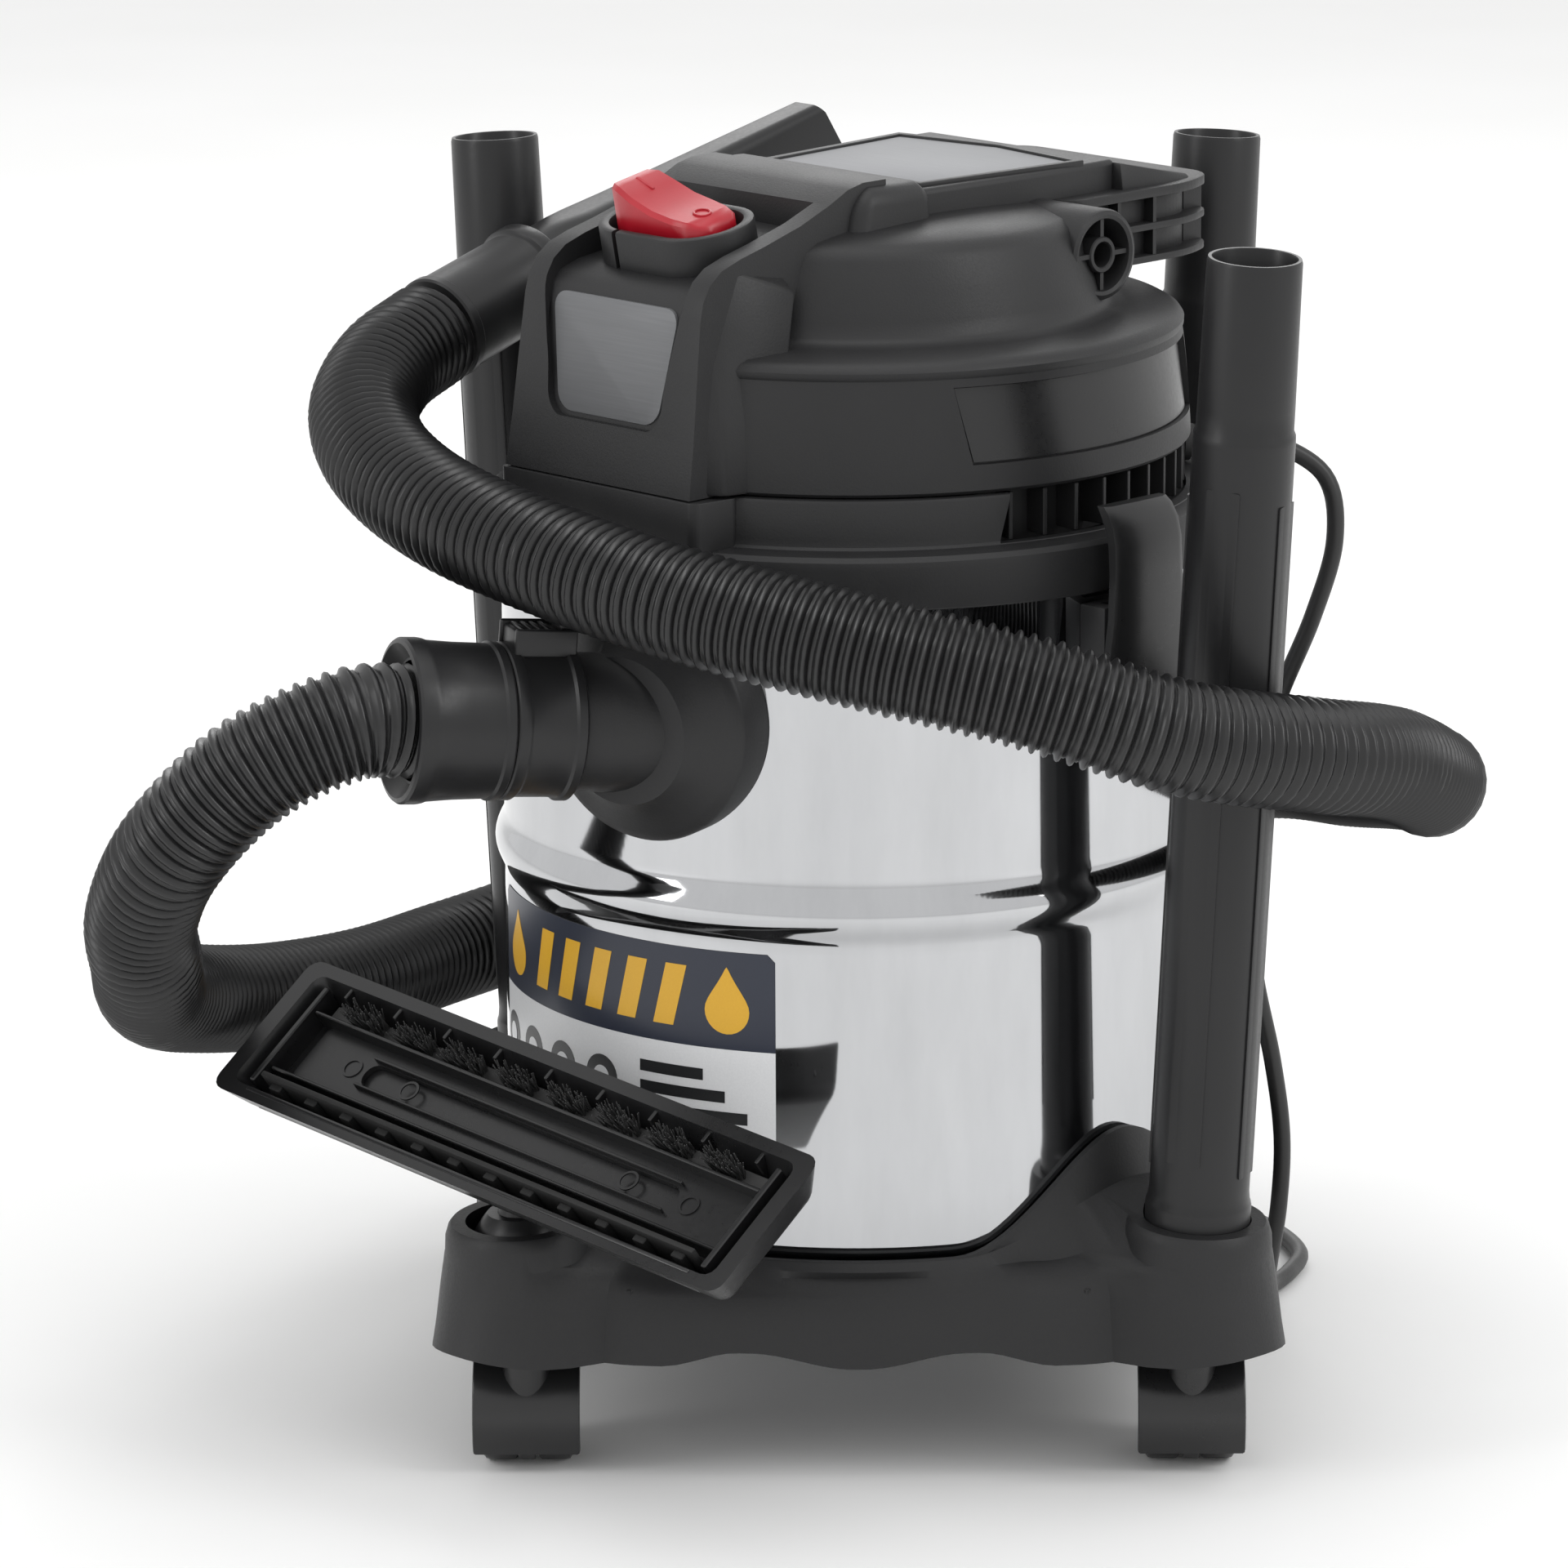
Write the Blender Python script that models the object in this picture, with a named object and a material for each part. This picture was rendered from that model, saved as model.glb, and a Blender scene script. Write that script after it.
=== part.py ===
"""Wet and dry shop vacuum: steel drum on a four-caster dolly, lift-off motor head, parked tubes and tools.

The front of the machine, with the switch and the hose inlet, faces -Y. Heights are above the floor.
All the numbers are millimetres and are turned into metres as the pieces are made.
"""
import math

import bmesh
import bpy
from mathutils import Matrix, Vector

MM = 0.001

# Share of each turned piece's stated sides that is kept
FACET_SHARE = 0.62

# Drum
DRUM_R = 137.5
DRUM_WALL = 1.4
DRUM_FLOOR_Z = 81.3
DRUM_TOP_Z = 342.0
BEAD_Z = 219.0
BEAD_HALF = 11.5
BEAD_OUT = 3.6

# Base dolly
DECK_TOP_Z = 81.0
DECK_UNDER_Z = 76.0
SKIRT_LOW_Z = 46.0
SIDE_R = 150.0
SOCKET_R = 30.0
SOCKET_TOP_Z = 96.0
POST_R_AT_BASE = 178.4
POST_Z = 62.0
POST_LEAN = math.radians(3.73)
POST_ANGLES = {"front": -90.0, "right": 0.0, "back": 90.0, "left": 180.0}

# Casters
WHEEL_R = 20.0
WHEEL_W = 13.0
CASTER_W = 41.0
STEM_R = 5.0
TRAIL = 13.0
CASTER_HEADING = -45.0

# Parked tubes
TUBE_LEN = 408.0
FOOT_R = 20.0
BODY_R = 19.3
TIP_R = 17.8
TUBE_WALL = 2.2

# Head
RING_R = 141.0
RING_LOW_Z = 337.0
RING_TOP_Z = 357.0
BAND_R = 130.0
BAND_TOP_Z = 376.0
COVER_Z = 376.6
SHOULDER_Z = 423.0
TIER_Z = 428.5
TOP_Z = 477.5

# Hose and mains cord
HOSE_D = 43.0
HOSE_STEP = 38.0
CORD_D = 7.0
CORD_STEP = 26.0
HOSE_ROUTE = [
    (-7.6, -222.8, 298.8), (-18.0, -246.0, 299.5), (-40.0, -275.0, 283.0), (-66.0, -291.0, 252.0),
    (-97.0, -281.0, 219.0), (-116.0, -264.0, 195.0), (-149.0, -233.0, 170.0), (-176.0, -189.0, 153.0),
    (-194.0, -135.0, 140.0),
    (-214.0, -70.0, 130.0), (-233.0, -5.0, 126.0), (-228.0, 65.0, 132.0), (-195.0, 132.0, 146.0),
    (-138.0, 190.0, 164.0), (-70.0, 228.0, 184.0), (2.0, 238.0, 202.0), (66.0, 216.0, 214.0),
    (118.0, 184.0, 228.0), (160.0, 151.0, 240.0), (196.0, 112.0, 252.0), (228.0, 52.0, 275.0),
    (240.0, -5.0, 290.0), (225.0, -58.0, 303.0), (186.0, -100.0, 321.0), (138.0, -136.0, 334.0),
    (78.0, -165.0, 346.0), (20.0, -178.0, 356.0), (-38.0, -178.0, 365.0), (-88.0, -165.0, 375.0),
    (-124.0, -143.0, 386.0), (-145.5, -113.0, 397.0), (-155.8, -80.0, 405.0),
]
CORD_ROUTE = [
    (72.3, 125.2, 366.0), (84.0, 143.0, 364.0), (99.0, 160.0, 350.0), (104.0, 161.0, 325.0),
    (101.0, 152.0, 295.0), (93.0, 141.0, 262.0), (84.0, 137.0, 228.0), (80.0, 138.5, 190.0),
    (82.0, 141.0, 150.0), (86.0, 148.0, 112.0), (88.0, 152.0, 80.0), (85.0, 154.0, 50.0),
    (75.0, 160.0, 22.0), (62.0, 174.0, 6.5), (52.0, 198.0, 4.2), (36.0, 222.0, 4.2), (0.0, 243.0, 4.2),
    (-45.0, 250.0, 4.2), (-90.0, 242.0, 4.2), (-126.0, 223.3, 4.2),
]
COIL_AT = (-170.0, 170.0)
COIL_OUT_R = 65.0
COIL_IN_R = 39.0
COIL_H = 26.0
PLUG_NOSE = (-246.0, 171.0, 18.4)
PLUG_HEADING = math.radians(228.0)

# Inlet port and the tools
PORT_AT = (31.0, -140.0, 291.0)
PORT_DIR = (-0.42, -0.90, 0.085)
NOZZLE_L = 276.0
NOZZLE_W = 66.0

COLOURS = {
    "black_plastic": (0.030, 0.030, 0.031, 1.0, 0.0, 0.55),
    "smooth_black": (0.022, 0.022, 0.023, 1.0, 0.0, 0.32),
    "steel": (0.78, 0.78, 0.79, 1.0, 1.0, 0.08),
    "red_plastic": (0.45, 0.010, 0.020, 1.0, 0.0, 0.35),
    "grey_plate": (0.25, 0.25, 0.26, 1.0, 0.0, 0.45),
    "rubber": (0.018, 0.018, 0.018, 1.0, 0.0, 0.70),
    "filter_paper": (0.72, 0.70, 0.62, 1.0, 0.0, 0.90),
    "label_film": (0.30, 0.32, 0.38, 1.0, 0.0, 0.40),
    "bristle": (0.03, 0.03, 0.03, 1.0, 0.0, 0.80),
    "zinc_steel": (0.60, 0.60, 0.58, 1.0, 1.0, 0.30),
}


def clear_scene():
    for ob in list(bpy.data.objects):
        bpy.data.objects.remove(ob, do_unlink=True)


def material(name, kind):
    r, g, b, a, metallic, rough = COLOURS[kind]
    mat = bpy.data.materials.new(name)
    mat.use_nodes = True
    shader = mat.node_tree.nodes["Principled BSDF"]
    shader.inputs["Base Color"].default_value = (r, g, b, a)
    shader.inputs["Metallic"].default_value = metallic
    shader.inputs["Roughness"].default_value = rough
    mat.diffuse_color = (r, g, b, a)
    return mat


def place(name, bm, kind, matrix=None, origin=None):
    """Makes an object of a bmesh in millimetres, with its origin at a point in millimetres."""
    if matrix is not None:
        bmesh.ops.transform(bm, matrix=matrix, verts=bm.verts)
    bmesh.ops.remove_doubles(bm, verts=bm.verts, dist=0.0005)
    bmesh.ops.recalc_face_normals(bm, faces=bm.faces)
    at = Vector(origin) if origin is not None else Vector((0, 0, 0))
    for v in bm.verts:
        v.co = (v.co - at) * MM
    mesh = bpy.data.meshes.new(name)
    bm.to_mesh(mesh)
    bm.free()
    ob = bpy.data.objects.new(name, mesh)
    ob.location = at * MM
    bpy.context.scene.collection.objects.link(ob)
    mesh.materials.append(material(name + "_material", kind))
    return ob


def lathe(profile, sides):
    """Turns a closed (r, z) loop, or a line from axis to axis, about Z."""
    bm = bmesh.new()
    segments = max(12, 2 * round(sides * FACET_SHARE / 2))
    on_axis = profile[0][0] == 0
    rings = []
    for r, z in profile:
        if r == 0:
            rings.append([bm.verts.new((0, 0, z))])
        else:
            ring = []
            for i in range(segments):
                a = 2 * math.pi * i / segments
                ring.append(bm.verts.new((r * math.cos(a), r * math.sin(a), z)))
            rings.append(ring)
    count = len(rings)
    pairs = count - 1 if on_axis else count
    for k in range(pairs):
        low = rings[k]
        high = rings[(k + 1) % count]
        for i in range(segments):
            j = (i + 1) % segments
            if len(low) == 1 and len(high) == 1:
                continue
            if len(low) == 1:
                bm.faces.new((low[0], high[j], high[i]))
            elif len(high) == 1:
                bm.faces.new((low[i], low[j], high[0]))
            else:
                bm.faces.new((low[i], low[j], high[j], high[i]))
    return bm


def loft(loops, closed_ring=False):
    """Skins loops of the same number of points. The ends are capped, unless the loops close on themselves."""
    bm = bmesh.new()
    rows = []
    for loop in loops:
        rows.append([bm.verts.new(p) for p in loop])
    n = len(rows[0])
    spans = len(rows) if closed_ring else len(rows) - 1
    for k in range(spans):
        a = rows[k]
        b = rows[(k + 1) % len(rows)]
        for i in range(n):
            j = (i + 1) % n
            bm.faces.new((a[i], a[j], b[j], b[i]))
    if not closed_ring:
        bm.faces.new(rows[0][::-1])
        bm.faces.new(rows[-1])
    return bm


def box(x0, x1, y0, y1, z0, z1):
    bm = bmesh.new()
    bmesh.ops.create_cube(bm, size=1.0)
    size = Matrix.Diagonal((x1 - x0, y1 - y0, z1 - z0, 1.0))
    move = Matrix.Translation(((x0 + x1) / 2, (y0 + y1) / 2, (z0 + z1) / 2))
    bmesh.ops.transform(bm, matrix=move @ size, verts=bm.verts)
    return bm


def rod(p0, p1, r, segments=24, r_end=None):
    """A solid cylinder or cone between two points."""
    p0 = Vector(p0)
    p1 = Vector(p1)
    line = p1 - p0
    end = r if r_end is None else r_end
    bm = lathe([(0, 0), (r, 0), (end, line.length), (0, line.length)], segments)
    turn = Vector((0, 0, 1)).rotation_difference(line.normalized()).to_matrix().to_4x4()
    bmesh.ops.transform(bm, matrix=Matrix.Translation(p0) @ turn, verts=bm.verts)
    return bm


def rounded_rect(w, d, r, steps=4):
    """Corner-rounded rectangle as (x, y) points, anticlockwise."""
    out = []
    for cx, cy, start in ((w / 2 - r, d / 2 - r, 0), (r - w / 2, d / 2 - r, 90),
                          (r - w / 2, r - d / 2, 180), (w / 2 - r, r - d / 2, 270)):
        for i in range(steps + 1):
            a = math.radians(start + 90 * i / steps)
            out.append((cx + r * math.cos(a), cy + r * math.sin(a)))
    return out


def combine(name, bm, tools, kind, matrix=None, origin=None):
    """Joins or cuts the first body with each (operation, bmesh) and keeps the one result."""
    base = place(name, bm, kind)
    for operation, tool_bm in tools:
        tool = place(name + "_tool", tool_bm, kind)
        mod = base.modifiers.new("shape", "BOOLEAN")
        mod.operation = operation
        mod.solver = "EXACT"
        mod.object = tool
        bpy.context.view_layer.update()
        graph = bpy.context.evaluated_depsgraph_get()
        made = bpy.data.meshes.new_from_object(base.evaluated_get(graph))
        base.modifiers.clear()
        base.data = made
        bpy.data.objects.remove(tool, do_unlink=True)
    work = bmesh.new()
    work.from_mesh(base.data)
    bpy.data.objects.remove(base, do_unlink=True)
    for v in work.verts:
        v.co = v.co / MM
    bmesh.ops.dissolve_degenerate(work, edges=work.edges, dist=0.01)
    bmesh.ops.triangulate(work, faces=work.faces)
    return place(name, work, kind, matrix, origin)


def turn_z(degrees):
    return Matrix.Rotation(math.radians(degrees), 4, "Z")


def post_matrix(angle):
    """The frame of a parked tube: origin at the tube's foot, local Z up its leaning axis."""
    at = Matrix.Translation((POST_R_AT_BASE, 0, POST_Z))
    lean = Matrix.Rotation(POST_LEAN, 4, "Y")
    return turn_z(angle) @ at @ lean


def smooth_route(points, step):
    """Evenly spaced points along a smooth curve through the route points, in millimetres."""
    pts = [Vector(p) for p in points]
    pts = [pts[0] * 2 - pts[1]] + pts + [pts[-1] * 2 - pts[-2]]
    fine = []
    for i in range(1, len(pts) - 2):
        p0, p1, p2, p3 = pts[i - 1], pts[i], pts[i + 1], pts[i + 2]
        for k in range(12):
            t = k / 12
            a = 2 * p1
            b = (p2 - p0) * t
            c = (2 * p0 - 5 * p1 + 4 * p2 - p3) * t * t
            d = (3 * p1 - p0 - 3 * p2 + p3) * t * t * t
            fine.append((a + b + c + d) / 2)
    fine.append(pts[-2])
    lengths = [0.0]
    for p, q in zip(fine, fine[1:]):
        lengths.append(lengths[-1] + (q - p).length)
    count = max(2, round(lengths[-1] / step) + 1)
    out = []
    k = 0
    for i in range(count):
        want = lengths[-1] * i / (count - 1)
        while k < len(lengths) - 2 and lengths[k + 1] < want:
            k += 1
        span = lengths[k + 1] - lengths[k]
        out.append(fine[k].lerp(fine[k + 1], (want - lengths[k]) / span))
    return out


def flexible(name, route, step, diameter, kind, resolution):
    curve = bpy.data.curves.new(name, "CURVE")
    curve.dimensions = "3D"
    curve.bevel_depth = diameter / 2 * MM
    curve.bevel_resolution = resolution
    curve.use_fill_caps = True
    points = smooth_route(route, step)
    spline = curve.splines.new("POLY")
    spline.points.add(len(points) - 1)
    for target, p in zip(spline.points, points):
        target.co = (p.x * MM, p.y * MM, p.z * MM, 1.0)
    ob = bpy.data.objects.new(name, curve)
    bpy.context.scene.collection.objects.link(ob)
    curve.materials.append(material(name + "_material", kind))
    return ob


# ---------------------------------------------------------------- drum and dolly

def make_drum():
    """Deep-drawn steel tank with a rolled bead and a curled rim."""
    w = DRUM_WALL
    r = DRUM_R
    outer = [(0, DRUM_FLOOR_Z), (r - 8, DRUM_FLOOR_Z), (r - 2.5, DRUM_FLOOR_Z + 2), (r, DRUM_FLOOR_Z + 7),
             (r, BEAD_Z - BEAD_HALF)]
    for t in (0.25, 0.5, 0.75):
        z = BEAD_Z - BEAD_HALF + 2 * BEAD_HALF * t
        outer.append((r + BEAD_OUT * math.sin(math.pi * t) ** 0.8, z))
    outer += [(r, BEAD_Z + BEAD_HALF), (r, DRUM_TOP_Z - 1)]
    inner = [(r - 1.0, DRUM_TOP_Z), (r - 5.0, DRUM_TOP_Z), (r - 5.0, DRUM_TOP_Z - 4), (r - w, DRUM_TOP_Z - 6),
             (r - w, DRUM_FLOOR_Z + 8), (r - 9, DRUM_FLOOR_Z + w), (0, DRUM_FLOOR_Z + w)]
    body = lathe(outer + inner, 60)
    start = Vector(PORT_AT)
    radial = Vector((PORT_AT[0], PORT_AT[1], 0)).normalized()
    hole = rod(start - radial * 30, start + radial * 20, 24.0, 20)
    return combine("drum", body, [("DIFFERENCE", hole)], "steel")


def base_outline(angle):
    """Outer radius of the dolly at an angle from a post: bowed sides and a rounded corner at each post."""
    off = abs((angle + 45.0) % 90.0 - 45.0)
    side = SIDE_R + 2.0 * (1 - off / 45.0)
    corner = 206.0 - 0.052 * off * off
    blend = 1.0 / (1.0 + math.exp(-(corner - side) / 5.0))
    return side * (1 - blend) + corner * blend


def rim_height(angle):
    """Top of the rim round the drum foot: it rises towards each post."""
    off = abs((angle + 45.0) % 90.0 - 45.0)
    rise = max(0.0, 1.0 - off / 33.0)
    return 87.0 + 40.0 * (rise * rise * (3 - 2 * rise)) ** 1.1


def skirt_low(angle):
    off = abs((angle + 45.0) % 90.0 - 45.0)
    wave = 0.5 + 0.5 * math.cos(math.radians(off * 4))
    return SKIRT_LOW_Z + 5.0 * wave


def make_base():
    """Moulded dolly: a well for the drum foot, bowed skirts and a tube socket at each corner."""
    loops = []
    steps = 48
    for i in range(steps):
        a = 360.0 * i / steps
        c = math.cos(math.radians(a))
        s = math.sin(math.radians(a))
        out_r = base_outline(a)
        top = rim_height(a)
        low = skirt_low(a)
        section = [(60, DECK_UNDER_Z), (60, DECK_TOP_Z), (138.4, DECK_TOP_Z), (138.4, top), (142.0, top),
                   (max(145.0, out_r - 14), 84.0), (out_r - 3.0, 78.0), (out_r + 2.0, low), (out_r - 0.8, low),
                   (out_r - 6.0, 74.0), (max(141.0, out_r - 16), DECK_UNDER_Z)]
        loops.append([(r * c, r * s, z) for r, z in section])
    body = loft(loops, closed_ring=True)
    tools = []
    for angle in POST_ANGLES.values():
        m = post_matrix(angle)
        tower = lathe([(0, -8), (SOCKET_R, -8), (SOCKET_R, 20), (26.0, 34), (0, 34)], 24)
        bmesh.ops.transform(tower, matrix=m, verts=tower.verts)
        tools.append(("UNION", tower))
    for angle in POST_ANGLES.values():
        foot = turn_z(angle) @ Vector((POST_R_AT_BASE - 1.0, 0, 0))
        disc = rod((foot.x, foot.y, 49.0), (foot.x, foot.y, 66.0), 27.0, 24)
        tools.append(("UNION", disc))
    for angle in POST_ANGLES.values():
        m = post_matrix(angle)
        bore = lathe([(0, 2.4), (FOOT_R + 0.4, 2.4), (FOOT_R + 0.4, 60), (0, 60)], 24)
        bmesh.ops.transform(bore, matrix=m, verts=bore.verts)
        tools.append(("DIFFERENCE", bore))
        foot = turn_z(angle) @ Vector((POST_R_AT_BASE, 0, 0))
        tools.append(("DIFFERENCE", rod((foot.x, foot.y, 40), (foot.x, foot.y, 61.5), STEM_R + 0.3, 12)))
    return combine("base_dolly", body, tools, "black_plastic")


def make_caster(side, angle):
    """Twin-wheel caster: a swivelling hood with its stem, and a pair of wheels on one axle."""
    foot = turn_z(angle) @ Vector((POST_R_AT_BASE, 0, 0))
    m = Matrix.Translation((foot.x, foot.y, 0)) @ turn_z(CASTER_HEADING)
    ax = -TRAIL
    arc = []
    for i in range(12):
        a = math.radians(-28 + 178 * i / 11)
        arc.append((a, 25.2))
    for i in range(12):
        a = math.radians(150 - 178 * i / 11)
        arc.append((a, 21.4))
    ring = [(ax + r * math.cos(a), WHEEL_R + r * math.sin(a)) for a, r in arc]
    hood = loft([[(x, -CASTER_W / 2, z) for x, z in ring], [(x, CASTER_W / 2, z) for x, z in ring]])
    disc = []
    for i in range(20):
        a = 2 * math.pi * (i + 0.5) / 20
        disc.append((ax + 22.6 * math.cos(a), max(4.0, WHEEL_R + 22.6 * math.sin(a))))
    web = loft([[(x, -3.2, z) for x, z in disc], [(x, 3.2, z) for x, z in disc]])
    boss = rod((0, 0, 30.0), (0, 0, 48.2), 9.0, 16)
    stem = rod((0, 0, 47.0), (0, 0, 60.8), STEM_R, 12)
    tools = [("UNION", web), ("UNION", boss), ("UNION", stem),
             ("DIFFERENCE", rod((ax, -22, WHEEL_R), (ax, -3.7, WHEEL_R), 20.9, 20)),
             ("DIFFERENCE", rod((ax, 3.7, WHEEL_R), (ax, 22, WHEEL_R), 20.9, 20)),
             ("DIFFERENCE", rod((ax, -30, WHEEL_R), (ax, 30, WHEEL_R), 3.3, 12))]
    combine("caster_" + side, hood, tools, "black_plastic", m, (foot.x, foot.y, 55.0))
    half = WHEEL_W / 2
    y0 = 4.0 + half
    loop = [(0, -y0 - half), (WHEEL_R - 3, -y0 - half), (WHEEL_R, -y0 - half + 3), (WHEEL_R, -y0 + half),
            (3.0, -y0 + half), (3.0, y0 - half), (WHEEL_R, y0 - half), (WHEEL_R, y0 + half - 3),
            (WHEEL_R - 3, y0 + half), (0, y0 + half)]
    wheels = lathe(loop, 26)
    tip = Matrix.Translation((ax, 0, WHEEL_R)) @ Matrix.Rotation(math.radians(-90), 4, "X")
    centre = m @ Vector((ax, 0, WHEEL_R))
    place("wheels_" + side, wheels, "smooth_black", m @ tip, centre)


def make_tube(side, angle):
    """Parked extension tube: female foot in the socket, male tip up."""
    n = TUBE_LEN
    w = TUBE_WALL
    loop = [(FOOT_R, 3.0), (FOOT_R, 46.0), (BODY_R, 50.0), (BODY_R, n - 66), (TIP_R + 0.4, n - 62), (TIP_R, n),
            (TIP_R - w, n), (BODY_R - w - 0.8, n - 70), (BODY_R - w - 0.8, 50.0), (FOOT_R - w, 46.0),
            (FOOT_R - w, 3.0)]
    m = post_matrix(angle)
    place("tube_" + side, lathe(loop, 24), "black_plastic", m, m @ Vector((0, 0, 0)))


def drum_point(angle, r, z):
    a = math.radians(angle)
    return (r * math.cos(a), r * math.sin(a), z)


def curved_plate(a0, a1, r0, r1, z0, z1, steps=18):
    """A plate that follows the drum between two angles."""
    loops = []
    for i in range(steps + 1):
        a = a0 + (a1 - a0) * i / steps
        loops.append([drum_point(a, r0, z0), drum_point(a, r1, z0), drum_point(a, r1, z1), drum_point(a, r0, z1)])
    return loft(loops)


def make_label():
    return place("front_label", curved_plate(-125.0, -57.5, DRUM_R + 0.15, DRUM_R + 0.5, 127.0, 204.0, 20),
                 "label_film")


def port_frame():
    z = Vector(PORT_DIR).normalized()
    turn = Vector((0, 0, 1)).rotation_difference(z).to_matrix().to_4x4()
    return Matrix.Translation(Vector(PORT_AT)) @ turn


def make_inlet():
    """Round flange on the drum, a coned boss turned a little to the left, and the port tube."""
    radial = Vector((PORT_AT[0], PORT_AT[1], 0)).normalized()
    here = Vector(PORT_AT)
    seat = Matrix.Translation(here) @ Vector((0, 0, 1)).rotation_difference(radial).to_matrix().to_4x4()
    flange = lathe([(0, -16), (44.5, -16), (45, 4), (43, 8), (31, 18), (0, 18)], 32)
    bmesh.ops.transform(flange, matrix=seat, verts=flange.verts)
    port = lathe([(0, -6), (27.0, -6), (25.5, 30), (25.5, 50), (0, 50)], 24)
    bmesh.ops.transform(port, matrix=port_frame(), verts=port.verts)
    bore = lathe([(0, -70), (21.5, -70), (21.5, 60), (0, 60)], 20)
    bmesh.ops.transform(bore, matrix=port_frame(), verts=bore.verts)
    tank = rod((0, 0, 200), (0, 0, 400), DRUM_R + 0.3, 96)
    tools = [("UNION", port), ("DIFFERENCE", tank), ("DIFFERENCE", bore)]
    combine("inlet_flange", flange, tools, "black_plastic")
    ring = rod(here - radial * 22, here - radial * 13, 40.0, 24)
    outside = lathe([(DRUM_R - DRUM_WALL - 0.4, 200), (200, 200), (200, 400), (DRUM_R - DRUM_WALL - 0.4, 400)], 96)
    hole = rod(here - radial * 60, here + radial * 20, 23.0, 28)
    combine("inlet_clamp_ring", ring, [("DIFFERENCE", outside), ("DIFFERENCE", hole)], "black_plastic")
    m = port_frame()
    collar = lathe([(26.2, 35.0), (28.2, 35.0), (28.2, 60.0), (22.6, 60.0), (22.6, 50.6), (26.2, 50.6)], 24)
    place("inlet_collar", collar, "black_plastic", m)
    cuff = lathe([(23.0, 60.6), (28.2, 60.6), (29.4, 70.0), (30.2, 98.0), (27.8, 98.0), (23.0, 93.5)], 24)
    place("inlet_cuff", cuff, "black_plastic", m)
    button = box(-9, 9, -3, 5, 38, 56)
    bmesh.ops.transform(button, matrix=Matrix.Translation((0, 0, 0)), verts=button.verts)
    up = Vector((0, 0, 1))
    axis = Vector(PORT_DIR).normalized()
    side = axis.cross(up).normalized()
    lift = side.cross(axis)
    frame = Matrix((side, lift, axis)).transposed().to_4x4()
    frame.translation = Vector(PORT_AT) + lift * 32.0
    place("inlet_button", button, "black_plastic", frame)


def make_latch(side, turn):
    """Clamp lever on its drum bracket: the lever swings outwards about a pin near its foot."""
    m = turn_z(turn)
    back = box(DRUM_R - 6, 149.0, -19, 19, 296, 333)
    tank = rod((0, 0, 200), (0, 0, 400), DRUM_R + 0.3, 96)
    slot = box(141.4, 160, -13.5, 13.5, 290, 340)
    tools = [("DIFFERENCE", tank), ("DIFFERENCE", slot),
             ("UNION", rod((146.5, -17, 306), (146.5, 17, 306), 2.4, 16))]
    combine("latch_bracket_" + side, back, tools, "black_plastic", m)
    barrel = rod((146.5, -13.0, 306), (146.5, 13.0, 306), 4.6, 20)
    arm = box(148.5, 153.0, -13.0, 13.0, 306, 336)
    blade = loft([[(150.9, -24, 290), (154.9, -24, 290), (154.9, 24, 290), (150.9, 24, 290)],
                  [(151.0, -20, 312), (154.9, -20, 312), (154.9, 20, 312), (151.0, 20, 312)],
                  [(150.8, -18, 345), (154.9, -18, 345), (154.9, 18, 345), (150.8, 18, 345)],
                  [(148.0, -18, 364), (154.1, -18, 364), (154.1, 18, 364), (148.0, 18, 364)],
                  [(142.4, -17, 369), (149.0, -17, 372), (149.0, 17, 372), (142.4, 17, 369)]])
    tools = [("UNION", arm), ("UNION", blade),
             ("DIFFERENCE", rod((146.5, -20, 306), (146.5, 20, 306), 2.7, 16))]
    pin = m @ Vector((146.5, 0, 306))
    combine("latch_" + side, barrel, tools, "smooth_black", m, pin)


# ---------------------------------------------------------------- head

def make_head_housing():
    """Lower housing: the ring over the tank rim, the motor deck and the wall with its two vent windows."""
    loop = [(44, 350.6), (126.6, 350.6), (138.6, 350.6), (138.6, RING_LOW_Z), (RING_R, RING_LOW_Z),
            (RING_R + 0.6, RING_TOP_Z - 3), (RING_R - 1.5, RING_TOP_Z), (BAND_R + 1.0, RING_TOP_Z),
            (BAND_R, BAND_TOP_Z), (BAND_R - 3.0, BAND_TOP_Z), (BAND_R - 3.0, 354.0), (44, 354.0)]
    body = lathe(loop, 60)
    tools = []
    for start, end in ((-20.0, 74.0), (106.0, 200.0)):
        tools.append(("DIFFERENCE", curved_plate(start, end, BAND_R - 8, BAND_R + 6, RING_TOP_Z + 0.4, 380, 16)))
    neck = box(-30, 30, -136.5, -120, RING_TOP_Z - 2, BAND_TOP_Z)
    tools.append(("UNION", neck))
    return combine("head_housing", body, tools, "black_plastic")


def make_vent_grille():
    """Inner ring with upright fins that fills the two vent windows."""
    body = lathe([(113.5, 354.6), (115.5, 354.6), (115.5, 375.9), (113.5, 375.9)], 48)
    tools = []
    for start in (-17.0, 109.0):
        for i in range(8):
            a = start + 12.0 * i
            fin = box(114.5, 126.0, -1.0, 1.0, 357.8, 375.9)
            bmesh.ops.transform(fin, matrix=turn_z(a), verts=fin.verts)
            tools.append(("UNION", fin))
    return combine("vent_grille", body, tools, "black_plastic")


CONSOLE_RIDGE_Z = 487.0


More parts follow.
